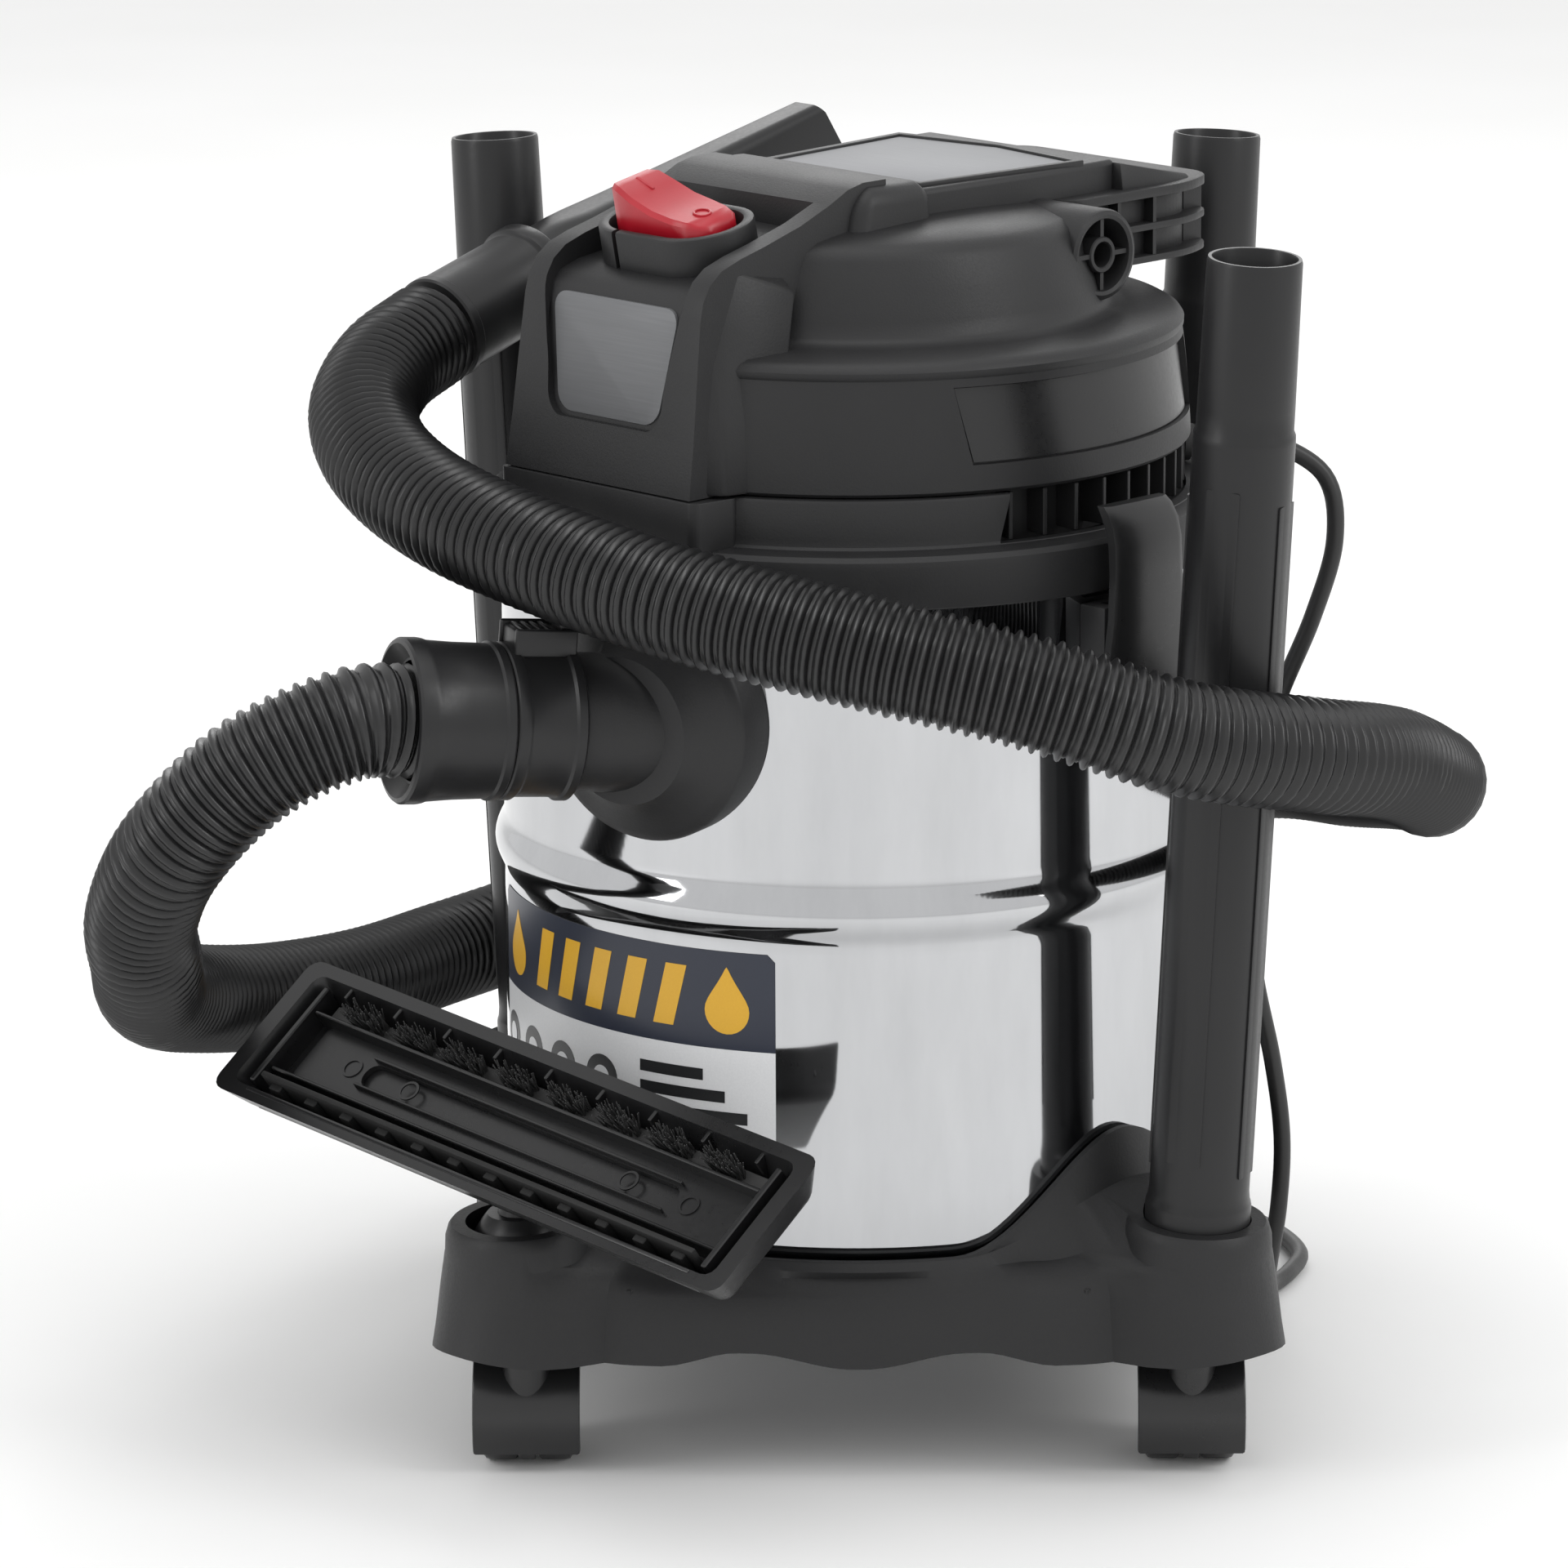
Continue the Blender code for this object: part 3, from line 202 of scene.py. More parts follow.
# Nitrile rubber of the seals, the float and the wiper lip: dull and dark.
RUBBER = moulded("nitrile_rubber", "#131313", "#1b1b1b", 0.68, 0.06, 0.8, 0.05, 25, 1.52)
# Glass-filled nylon rocker in signal red with a satin skin.
RED_NYLON = moulded("red_moulded_nylon", "#9c0c1c", "#b31226", 0.33, 0.05, 1.5, 0.03, 20, 1.53)
# Nylon brush filament, dusty at the tips.
FILAMENT = moulded("nylon_filament", "#242424", "#4a4a4a", 0.62, 0.06, 1.0, 0.02, 4, 1.53)


def brushed_plate(name, dark, light, roughness):
    """Anodised aluminium under a satin lacquer that dulls the metal: fine lines along X, drawn at 0.7 mm for 0.3."""
    finish, tree, shader, place = start_finish(name, metallic=0.25, roughness=roughness)
    stretch = add_node(tree, "ShaderNodeMapping", {"Vector": place}, {"Scale": (0.02, 1.0, 1.0)})
    lines = add_node(tree, "ShaderNodeTexNoise", {"Vector": stretch.outputs["Vector"]},
                     {"Scale": 1000 / 0.7, "Detail": 3.0})
    cloud = add_node(tree, "ShaderNodeTexNoise", {"Vector": place}, {"Scale": 1000 / 60})
    share = add_node(tree, "ShaderNodeMath", {0: lines.outputs["Fac"], 1: cloud.outputs["Fac"]},
                     operation="MULTIPLY_ADD")
    share.inputs[2].default_value = 0.2
    tone = add_node(tree, "ShaderNodeMix", {"Factor": share.outputs[0]}, data_type="RGBA")
    tone.inputs["A"].default_value = linear(dark)
    tone.inputs["B"].default_value = linear(light)
    tree.links.new(tone.outputs["Result"], shader.inputs["Base Color"])
    bump = add_node(tree, "ShaderNodeBump", {"Height": lines.outputs["Fac"]},
                    {"Strength": 0.25, "Distance": 0.00003})
    tree.links.new(bump.outputs["Normal"], shader.inputs["Normal"])
    return finish


FRONT_INLAY = brushed_plate("anodised_inlay_dark", "#5d5e60", "#7b7c7e", 0.46)
TOP_INLAY = brushed_plate("anodised_inlay_light", "#6c6d70", "#858689", 0.50)


def polished_steel(name, dark, light, low, high):
    """Buffed stainless sheet: mirror bright, with faint wipe marks and the slow waves of a drawn wall."""
    finish, tree, shader, place = start_finish(name, metallic=1.0, roughness=low)
    wipe = add_node(tree, "ShaderNodeMapping", {"Vector": place}, {"Scale": (1.0, 1.0, 0.25)})
    marks = add_node(tree, "ShaderNodeTexNoise", {"Vector": wipe.outputs["Vector"]},
                     {"Scale": 1000 / 30, "Detail": 5.0, "Roughness": 0.65})
    tone = add_node(tree, "ShaderNodeMix", {"Factor": marks.outputs["Fac"]}, data_type="RGBA")
    tone.inputs["A"].default_value = linear(dark)
    tone.inputs["B"].default_value = linear(light)
    tree.links.new(tone.outputs["Result"], shader.inputs["Base Color"])
    gloss = add_node(tree, "ShaderNodeMapRange", {"Value": marks.outputs["Fac"]},
                     {"From Min": 0.3, "From Max": 0.7, "To Min": low, "To Max": high})
    tree.links.new(gloss.outputs["Result"], shader.inputs["Roughness"])
    wave = add_node(tree, "ShaderNodeTexNoise", {"Vector": place}, {"Scale": 1000 / 90, "Detail": 1.0})
    bump = add_node(tree, "ShaderNodeBump", {"Height": wave.outputs["Fac"]}, {"Strength": 0.3, "Distance": 0.0006})
    tree.links.new(bump.outputs["Normal"], shader.inputs["Normal"])
    return finish


MIRROR_STEEL = polished_steel("mirror_polished_stainless", "#b2b3b5", "#cbccce", 0.035, 0.085)
ZINC_STEEL = polished_steel("zinc_plated_pressing", "#a9a9a4", "#c4c4be", 0.26, 0.38)


def printed_film(name, dark, light, roughness):
    """Printed vinyl film under a clear satin coat, with the ink's slight mottle at 0.8 mm."""
    finish, tree, shader, place = start_finish(name, ior=1.46, roughness=roughness)
    mottle = add_node(tree, "ShaderNodeTexNoise", {"Vector": place}, {"Scale": 1000 / 0.8, "Detail": 3.0})
    tone = add_node(tree, "ShaderNodeMix", {"Factor": mottle.outputs["Fac"]}, data_type="RGBA")
    tone.inputs["A"].default_value = linear(dark)
    tone.inputs["B"].default_value = linear(light)
    tree.links.new(tone.outputs["Result"], shader.inputs["Base Color"])
    shader.inputs["Coat Weight"].default_value = 0.3
    shader.inputs["Coat Roughness"].default_value = 0.2
    return finish


NAVY_INK = printed_film("navy_printed_vinyl", "#1a2030", "#1f2638", 0.4)
YELLOW_INK = printed_film("yellow_printed_vinyl", "#d8a21a", "#e0ad26", 0.4)
WHITE_INK = printed_film("white_printed_vinyl", "#d9dadc", "#e6e7e8", 0.38)
BLACK_INK = printed_film("black_printed_vinyl", "#191a1c", "#222325", 0.4)


def pleated_paper():
    """Resin-treated filter paper, with fibres about 1.5 mm long."""
    finish, tree, shader, place = start_finish("resin_treated_filter_paper", roughness=0.9)
    fibres = add_node(tree, "ShaderNodeTexNoise", {"Vector": place}, {"Scale": 1000 / 1.5, "Detail": 6.0})
    tone = add_node(tree, "ShaderNodeMix", {"Factor": fibres.outputs["Fac"]}, data_type="RGBA")
    tone.inputs["A"].default_value = linear("#c6bfa6")
    tone.inputs["B"].default_value = linear("#e2ddc9")
    tree.links.new(tone.outputs["Result"], shader.inputs["Base Color"])
    bump = add_node(tree, "ShaderNodeBump", {"Height": fibres.outputs["Fac"]},
                    {"Strength": 0.5, "Distance": 0.0002})
    tree.links.new(bump.outputs["Normal"], shader.inputs["Normal"])
    return finish


FILTER_PAPER = pleated_paper()


# ------------------------------------------------------------ shaping

def soften(bm, edges, size, steps=3):
    bmesh.ops.bevel(bm, geom=list(edges), offset=size, offset_type="OFFSET", segments=steps, profile=0.5,
                    affect="EDGES", clamp_overlap=True, material=-1)
    return bm


def block(x0, x1, y0, y1, z0, z1, rounding=0.0, steps=3):
    """A box between the stated planes, with every edge rounded."""
    bm = bmesh.new()
    bmesh.ops.create_cube(bm, size=1.0)
    bmesh.ops.scale(bm, vec=(x1 - x0, y1 - y0, z1 - z0), verts=bm.verts)
    bmesh.ops.translate(bm, vec=((x0 + x1) / 2, (y0 + y1) / 2, (z0 + z1) / 2), verts=bm.verts)
    if rounding:
        soften(bm, bm.edges, rounding, steps)
    return bm


def turned(profile, sides=96, closed=False):
    """Spins a chain of (radius, height) points about Z."""
    bm = bmesh.new()
    line = [bm.verts.new((r, 0, z)) for r, z in profile]
    edges = [bm.edges.new(pair) for pair in zip(line, line[1:])]
    if closed:
        edges.append(bm.edges.new((line[-1], line[0])))
    bmesh.ops.spin(bm, geom=line + edges, cent=(0, 0, 0), axis=(0, 0, 1), angle=2 * math.pi, steps=sides,
                   use_merge=True)
    bmesh.ops.remove_doubles(bm, verts=bm.verts, dist=0.0005)
    bmesh.ops.recalc_face_normals(bm, faces=bm.faces)
    return bm


def prism(points, z0, z1, rounding=0.0, steps=3):
    """Extrudes an outline of (x, y) points upwards."""
    bm = bmesh.new()
    face = bm.faces.new([bm.verts.new((x, y, z0)) for x, y in points])
    made = bmesh.ops.extrude_face_region(bm, geom=[face])
    top = [v for v in made["geom"] if isinstance(v, bmesh.types.BMVert)]
    bmesh.ops.translate(bm, vec=(0, 0, z1 - z0), verts=top)
    bmesh.ops.recalc_face_normals(bm, faces=bm.faces)
    if rounding:
        soften(bm, bm.edges, rounding, steps)
    return bm


def skin(loops, around=False):
    """Bridges loops of points one after another, and fills the two ends unless the loops go all the way round."""
    bm = bmesh.new()
    rings = []
    for loop in loops:
        corners = [bm.verts.new(p) for p in loop]
        rings.append([bm.edges.new((corners[i - 1], corners[i])) for i in range(len(corners))])
    pairs = list(zip(rings, rings[1:]))
    if around:
        pairs.append((rings[-1], rings[0]))
    for low, high in pairs:
        bmesh.ops.bridge_loops(bm, edges=low + high)
    if not around:
        bmesh.ops.edgeloop_fill(bm, edges=rings[0])
        bmesh.ops.edgeloop_fill(bm, edges=rings[-1])
    bmesh.ops.recalc_face_normals(bm, faces=bm.faces)
    return bm


def round_corners(points, radius, steps=4):
    """The outline with each corner turned into an arc."""
    bm = bmesh.new()
    face = bm.faces.new([bm.verts.new((x, y, 0)) for x, y in points])
    bmesh.ops.bevel(bm, geom=list(bm.verts), offset=radius, offset_type="OFFSET", segments=steps, profile=0.5,
                    affect="VERTICES", clamp_overlap=True, material=-1)
    out = [(loop.vert.co.x, loop.vert.co.y) for loop in max(bm.faces, key=lambda f: f.calc_area()).loops]
    bm.free()
    return out


def oblong(w, d, radius, steps=6):
    return round_corners([(-w / 2, -d / 2), (w / 2, -d / 2), (w / 2, d / 2), (-w / 2, d / 2)], radius, steps)


def rod(start, end, radius, end_radius=None, sides=32, rounding=0.0):
    """A round bar or cone between two points."""
    start, end = Vector(start), Vector(end)
    length = (end - start).length
    bm = bmesh.new()
    bmesh.ops.create_cone(bm, cap_ends=True, cap_tris=False, segments=sides, radius1=radius,
                          radius2=radius if end_radius is None else end_radius, depth=length)
    if rounding:
        soften(bm, [e for e in bm.edges if e.is_manifold and e.calc_face_angle() > 0.9], rounding, 2)
    turn = UP.rotation_difference((end - start).normalized()).to_matrix().to_4x4()
    bmesh.ops.transform(bm, matrix=Matrix.Translation((start + end) / 2) @ turn, verts=bm.verts)
    return bm


def moved(bm, matrix):
    bmesh.ops.transform(bm, matrix=matrix, verts=bm.verts)
    return bm


def gather(*shapes):
    """Puts several closed shapes into one."""
    out = bmesh.new()
    for shape in shapes:
        mesh = bpy.data.meshes.new("gathered")
        shape.to_mesh(mesh)
        shape.free()
        out.from_mesh(mesh)
        bpy.data.meshes.remove(mesh)
    return out


def carve(bm, *steps):
    """Cuts or joins each ("DIFFERENCE" or "UNION", shape) with the first shape."""
    def as_object(shape):
        mesh = bpy.data.meshes.new("carving")
        shape.to_mesh(mesh)
        shape.free()
        made = bpy.data.objects.new("carving", mesh)
        bpy.context.scene.collection.objects.link(made)
        return made
    base = as_object(bm)
    for operation, shape in steps:
        tool = as_object(shape)
        cut = base.modifiers.new("cut", "BOOLEAN")
        cut.operation = operation
        cut.solver = "EXACT"
        cut.object = tool
        bpy.context.view_layer.update()
        done = bpy.data.meshes.new_from_object(base.evaluated_get(bpy.context.evaluated_depsgraph_get()))
        base.modifiers.clear()
        base.data = done
        bpy.data.objects.remove(tool, do_unlink=True)
    out = bmesh.new()
    out.from_mesh(base.data)
    bpy.data.objects.remove(base, do_unlink=True)
    bmesh.ops.remove_doubles(out, verts=out.verts, dist=0.005)
    bmesh.ops.dissolve_degenerate(out, edges=out.edges, dist=0.005)
    return out


def turn_z(degrees):
    return Matrix.Rotation(math.radians(degrees), 4, "Z")


def frame_along(at, way, up=UP):
    """A frame at a point whose Z runs along a direction and whose Y leans towards up."""
    z = Vector(way).normalized()
    x = z.cross(up).normalized()
    y = x.cross(z) * -1
    turn = Matrix((x, -y, z)).transposed().to_4x4()
    return Matrix.Translation(Vector(at)) @ turn


def wrapped(bm, radius):
    """Rolls a flat shape, x along the arc from the -Y line and z up, round the drum; y is how far it stands out."""
    for v in bm.verts:
        r = radius + v.co.y
        a = v.co.x / radius - math.pi / 2
        v.co = Vector((r * math.cos(a), r * math.sin(a), v.co.z))
    return bm


def piece(name, bm, finish, body, stands_for=(), crease=32, bevel=0.0):
    """Turns a shape in millimetres into a finished piece that rides on a body."""
    bmesh.ops.scale(bm, vec=(MM, MM, MM), verts=bm.verts)
    mesh = bpy.data.meshes.new(name)
    bm.to_mesh(mesh)
    bm.free()
    mesh.polygons.foreach_set("use_smooth", [True] * len(mesh.polygons))
    mesh.set_sharp_from_angle(angle=math.radians(crease))
    made = bpy.data.objects.new(name, mesh)
    bpy.context.scene.collection.objects.link(made)
    mesh.materials.append(finish)
    if bevel:
        edge = made.modifiers.new("edge_radius", "BEVEL")
        edge.width = bevel * MM
        edge.segments = 2
        edge.limit_method = "ANGLE"
        edge.angle_limit = math.radians(38)
        edge.harden_normals = True
    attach(made, body)
    if stands_for:
        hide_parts(*stands_for)
    return made


# ------------------------------------------------------------ hose and mains lead

def smooth_route(points, step):
    """Evenly spaced points on a smooth curve through the route."""
    pts = [Vector(p) for p in points]
    pts = [pts[0] * 2 - pts[1]] + pts + [pts[-1] * 2 - pts[-2]]
    fine = []
    for i in range(1, len(pts) - 2):
        p0, p1, p2, p3 = pts[i - 1], pts[i], pts[i + 1], pts[i + 2]
        for k in range(24):
            t = k / 24
            b = (p2 - p0) * t
            c = (2 * p0 - 5 * p1 + 4 * p2 - p3) * t * t
            d = (3 * p1 - p0 - 3 * p2 + p3) * t * t * t
            fine.append((2 * p1 + b + c + d) / 2)
    fine.append(pts[-2])
    walked = [0.0]
    for p, q in zip(fine, fine[1:]):
        walked.append(walked[-1] + (q - p).length)
    count = max(2, round(walked[-1] / step) + 1)
    out = []
    k = 0
    for i in range(count):
        want = walked[-1] * i / (count - 1)
        while k < len(walked) - 2 and walked[k + 1] < want:
            k += 1
        out.append(fine[k].lerp(fine[k + 1], (want - walked[k]) / (walked[k + 1] - walked[k])))
    return out, walked[-1]


def bent_along(bm, line, length):
    """Bends a straight tube that stands on the origin along a line of evenly spaced points."""
    ways = []
    for i in range(len(line)):
        ways.append((line[min(i + 1, len(line) - 1)] - line[max(i - 1, 0)]).normalized())
    normal = ways[0].cross(UP).normalized()
    normals = [normal]
    for a, b in zip(ways, ways[1:]):
        normal = a.rotation_difference(b) @ normal
        normal = (normal - b * normal.dot(b)).normalized()
        normals.append(normal)
    last = len(line) - 1
    for v in bm.verts:
        at = min(max(v.co.z / length * last, 0), last)
        k = min(int(at), last - 1)
        t = at - k
        centre = line[k].lerp(line[k + 1], t)
        way = ways[k].lerp(ways[k + 1], t).normalized()
        n = normals[k].lerp(normals[k + 1], t).normalized()
        v.co = centre + n * v.co.x + way.cross(n) * v.co.y
    return bm


def make_hose():
    """Blown corrugated hose: a rounded main crest with a low second line in each valley."""
    line, length = smooth_route(HOSE_ROUTE, HOSE_STEP)
    count = round(length / RIB_PITCH)
    pitch = length / count
    top = HOSE_D / 2 - 0.1
    profile = [(0, 0), (top - 2.6, 0)]
    for i in range(count):
        z = i * pitch
        profile += [(top - 2.4, z + 0.06 * pitch), (top - 1.9, z + 0.17 * pitch), (top - 2.3, z + 0.28 * pitch),
                    (top - 0.5, z + 0.42 * pitch), (top, z + 0.58 * pitch), (top - 0.5, z + 0.74 * pitch),
                    (top - 2.3, z + 0.90 * pitch)]
    profile += [(top - 2.6, length), (0, length)]
    tube = bent_along(turned(profile, 26), line, length)
    hose = piece("ribbed_hose", tube, HOSE_PE, ROOT, ["suction_hose"], crease=60)
    return hose, [p * MM for p in line], length * MM


def coil_points():
    """Neat coil, laid in from its outside: rows side by side and layers a diameter apart."""
    out = []
    rows = []
    for layer in range(4):
        order = COIL_ROWS[::-1] if layer % 2 == 0 else COIL_ROWS
        rows += [(r, 3.7 + LAYER * layer) for r in order]
    rows.append((COIL_ROWS[-1], 3.7 + LAYER * 3))
    for turn in range(len(rows) - 1):
        r0, z0 = rows[turn]
        r1, z1 = rows[turn + 1]
        for k in range(24):
            share = k / 24
            rise = min(max((share - 0.66) / 0.16, 0), 1)
            shift = min(max((share - 0.84) / 0.16, 0), 1)
            rise = rise * rise * (3 - 2 * rise)
            shift = shift * shift * (3 - 2 * shift)
            r = r0 + (r1 - r0) * shift
            a = math.radians(90 + 360 * share)
            out.append((COIL_AT[0] + r * math.cos(a), COIL_AT[1] + r * math.sin(a), z0 + (z1 - z0) * rise))
    r, z = rows[-1]
    for degrees in (90, 105, 120, 134):
        a = math.radians(degrees)
        sink = 2.5 * max(0, degrees - 105) / 29
        out.append((COIL_AT[0] + r * math.cos(a), COIL_AT[1] + r * math.sin(a), z - sink))
    return out


def make_lead():
    """Mains lead from the gland to the floor behind the machine, the coil of its spare length, and its plug."""
    way = Vector((math.cos(PLUG_HEADING), math.sin(PLUG_HEADING), 0))
    tail = [tuple(PLUG_NOSE - way * 22 + UP * 1.2), tuple(PLUG_NOSE - way * 6), tuple(PLUG_NOSE + way * 6)]
    line, length = smooth_route(CORD_ROUTE + coil_points() + tail, CORD_STEP)
    steps = round(length / CORD_STEP)
    half = CORD_D / 2
    profile = [(0, 0)] + [(half, length * i / steps) for i in range(steps + 1)] + [(0, length)]
    lead = piece("mains_lead", bent_along(turned(profile, 14), line, length), CORD_PVC, ROOT,
                 ["mains_cord", "cord_coil"], crease=60)
    side = Vector((-way.y, way.x, 0))
    at = frame_along(PLUG_NOSE, way)
    sleeve = [(3.7, -8)]
    for i in range(7):
        z = -7 + i * 3.4
        r = 4.4 + i * 0.6
        sleeve += [(r, z), (r, z + 1.8), (r - 0.7, z + 2.0), (r - 0.7, z + 3.2)]
    sleeve += [(9.4, 17), (0, 17), (0, -8)]
    relief = moved(turned(sleeve, 24), at)
    body = turned([(0, 14), (9, 14.3), (13.5, 17), (17, 22), (18, 27), (18, 45), (17, 47.5), (15, 48.2),
                   (0, 48.2)], 48)
    for v in body.verts:
        if v.co.z < 40:
            squeeze = 1 - 0.18 * math.sin(math.pi * min(max((v.co.z - 18) / 24, 0), 1))
            v.co.y *= squeeze
    grip = [moved(block(-6, 6, -0.7, 0.7, 24 + 3.4 * i, 26 + 3.4 * i, 0.6, 2), Matrix.Translation((0, s * 14.6, 0)))
            for i in range(4) for s in (-1, 1)]
    pins = []
    for s in (-1, 1):
        foot = PLUG_NOSE + way * 47 + side * (s * 9.5)
        pins.append(rod(foot, foot + way * 8, 2.6, sides=20))
        pins.append(rod(foot + way * 8, foot + way * 18.6, 2.3, sides=20, rounding=0.8))
    shell = gather(relief, moved(gather(body, *grip), at))
    plug = piece("moulded_plug", shell, CORD_PVC, ROOT, ["mains_plug"], crease=40)
    prongs = piece("plug_pins", gather(*pins), ZINC_STEEL, ROOT)
    return lead, [p * MM for p in line], length * MM, plug, prongs


def make_coil_tie():
    """Hook-and-loop band round the coil at its right side."""
    x, y = COIL_AT
    outline = oblong(25.5, 33.0, 5, 4)
    loops = []
    for across in (-5, 5):
        loops.append([(x + 53.6 + r, y + across, 16.8 + z) for r, z in outline])
    sleeve = skin(loops)
    inner = skin([[(x + 53.6 + r * 0.93, y + across * 1.4, 16.8 + z * 0.94) for r, z in outline]
                  for across in (-5, 5)])
    return piece("coil_tie", carve(sleeve, ("DIFFERENCE", inner)), RUBBER, ROOT)


hose, hose_line, hose_length = make_hose()
lead, lead_line, lead_length, plug, prongs = make_lead()
tie = make_coil_tie()


# ------------------------------------------------------------ drum, label and inlet

def make_drum():
    """Drawn tank: rolled foot, one rolled bead, curled rim and a hole for the inlet."""
    r, w = DRUM_R, DRUM_WALL
    outer = [(0, 81.4), (r - 14, 81.4), (r - 7, 81.8), (r - 2.4, 83.6), (r - 0.5, 87), (r, 91), (r, 110), (r, 160),
             (r, 204)]
    for i in range(13):
        a = i / 12
        outer.append((r + 3.6 * math.sin(math.pi * a) ** 1.5, 207.5 + 23 * a))
    outer += [(r, 234), (r, 280), (r, 338), (r + 0.2, 340), (r - 0.4, 341.6), (r - 2, 342), (r - 4.4, 341.4),
              (r - 5, 340), (r - 4.4, 338.4), (r - w, 337), (r - w, 90), (r - 4, 84.6), (r - 9, 82.8), (0, 82.8)]
    radial = Vector((PORT_AT.x, PORT_AT.y, 0)).normalized()
    hole = rod(PORT_AT - radial * 30, PORT_AT + radial * 20, 24, sides=64)
    piece("steel_drum", carve(turned(outer, 192), ("DIFFERENCE", hole)), MIRROR_STEEL, ROOT,
                 ["drum"], crease=30)


def film(points, lift, depth=0.12):
    """Thin shape cut from vinyl, in (arc, height) points, rolled onto the drum."""
    bm = bmesh.new()
    face = bm.faces.new([bm.verts.new((x, 0, z)) for x, z in points])
    made = bmesh.ops.extrude_face_region(bm, geom=[face])
    front = [v for v in made["geom"] if isinstance(v, bmesh.types.BMVert)]
    bmesh.ops.translate(bm, vec=(0, depth, 0), verts=front)
    low = min(x for x, z in points)
    high = max(x for x, z in points)
    at = math.ceil(low / 4) * 4
    while at < high:
        if at > low + 0.01:
            bmesh.ops.bisect_plane(bm, geom=bm.verts[:] + bm.edges[:] + bm.faces[:], plane_co=(at, 0, 0),
                                   plane_no=(1, 0, 0), dist=0.0001)
        at += 4
    bmesh.ops.triangulate(bm, faces=bm.faces)
    bmesh.ops.recalc_face_normals(bm, faces=bm.faces)
    return wrapped(bm, DRUM_R + lift)


def make_label():
    """Two-band label of plain marks: drops and slanted bars above, rings with dots and short bars below."""
    x0, x1 = -83, 77
    navy = film([(x0, 166), (x1, 166), (x1, 201), (x1 - 3, 204), (x0 + 3, 204), (x0, 201)], FILM_LIFT)
    white = film([(x0, 130), (x0 + 3, 127), (x1 - 3, 127), (x1, 130), (x1, 166), (x0, 166)], FILM_LIFT)
    piece("label_upper_band", navy, NAVY_INK, ROOT, ["front_label"])
    piece("label_lower_band", white, WHITE_INK, ROOT)
    marks = []
    for cx in (-64, 58):
        drop = []
        for i in range(28):
            a = 2 * math.pi * i / 28
            pull = max(0.0, math.sin(a)) ** 3
            drop.append((cx + 9 * math.cos(a) * (1 - 0.75 * pull), 181 + 9 * math.sin(a) + 8 * pull))
        marks.append(film(drop, MARK_LIFT))
    for i in range(5):
        x = -44 + 17.6 * i
        marks.append(film([(x, 173), (x + 9, 173), (x + 15, 197), (x + 6, 197)], MARK_LIFT))
    piece("label_yellow_marks", gather(*marks), YELLOW_INK, ROOT)
    bars = []
    for i in range(4):
        x = -72 + 24 * i
        ring = [(x + 8.5 * math.cos(math.radians(a)), 147 + 8.5 * math.sin(math.radians(a)))
                for a in range(0, 360, 12)]
        bars.append(film(ring, MARK_LIFT))
    for i in range(3):
        z = 137 + 8 * i
        bars.append(film([(20, z), (66 - 9 * i, z), (66 - 9 * i, z + 4.5), (20, z + 4.5)], MARK_LIFT))
    piece("label_black_marks", gather(*bars), BLACK_INK, ROOT)
    dots = []
    for i in range(4):
        x = -72 + 24 * i
        dots.append(film([(x + 4.2 * math.cos(math.radians(a)), 147 + 4.2 * math.sin(math.radians(a)))
                          for a in range(0, 360, 15)], DOT_LIFT))
    piece("label_white_dots", gather(*dots), WHITE_INK, ROOT)


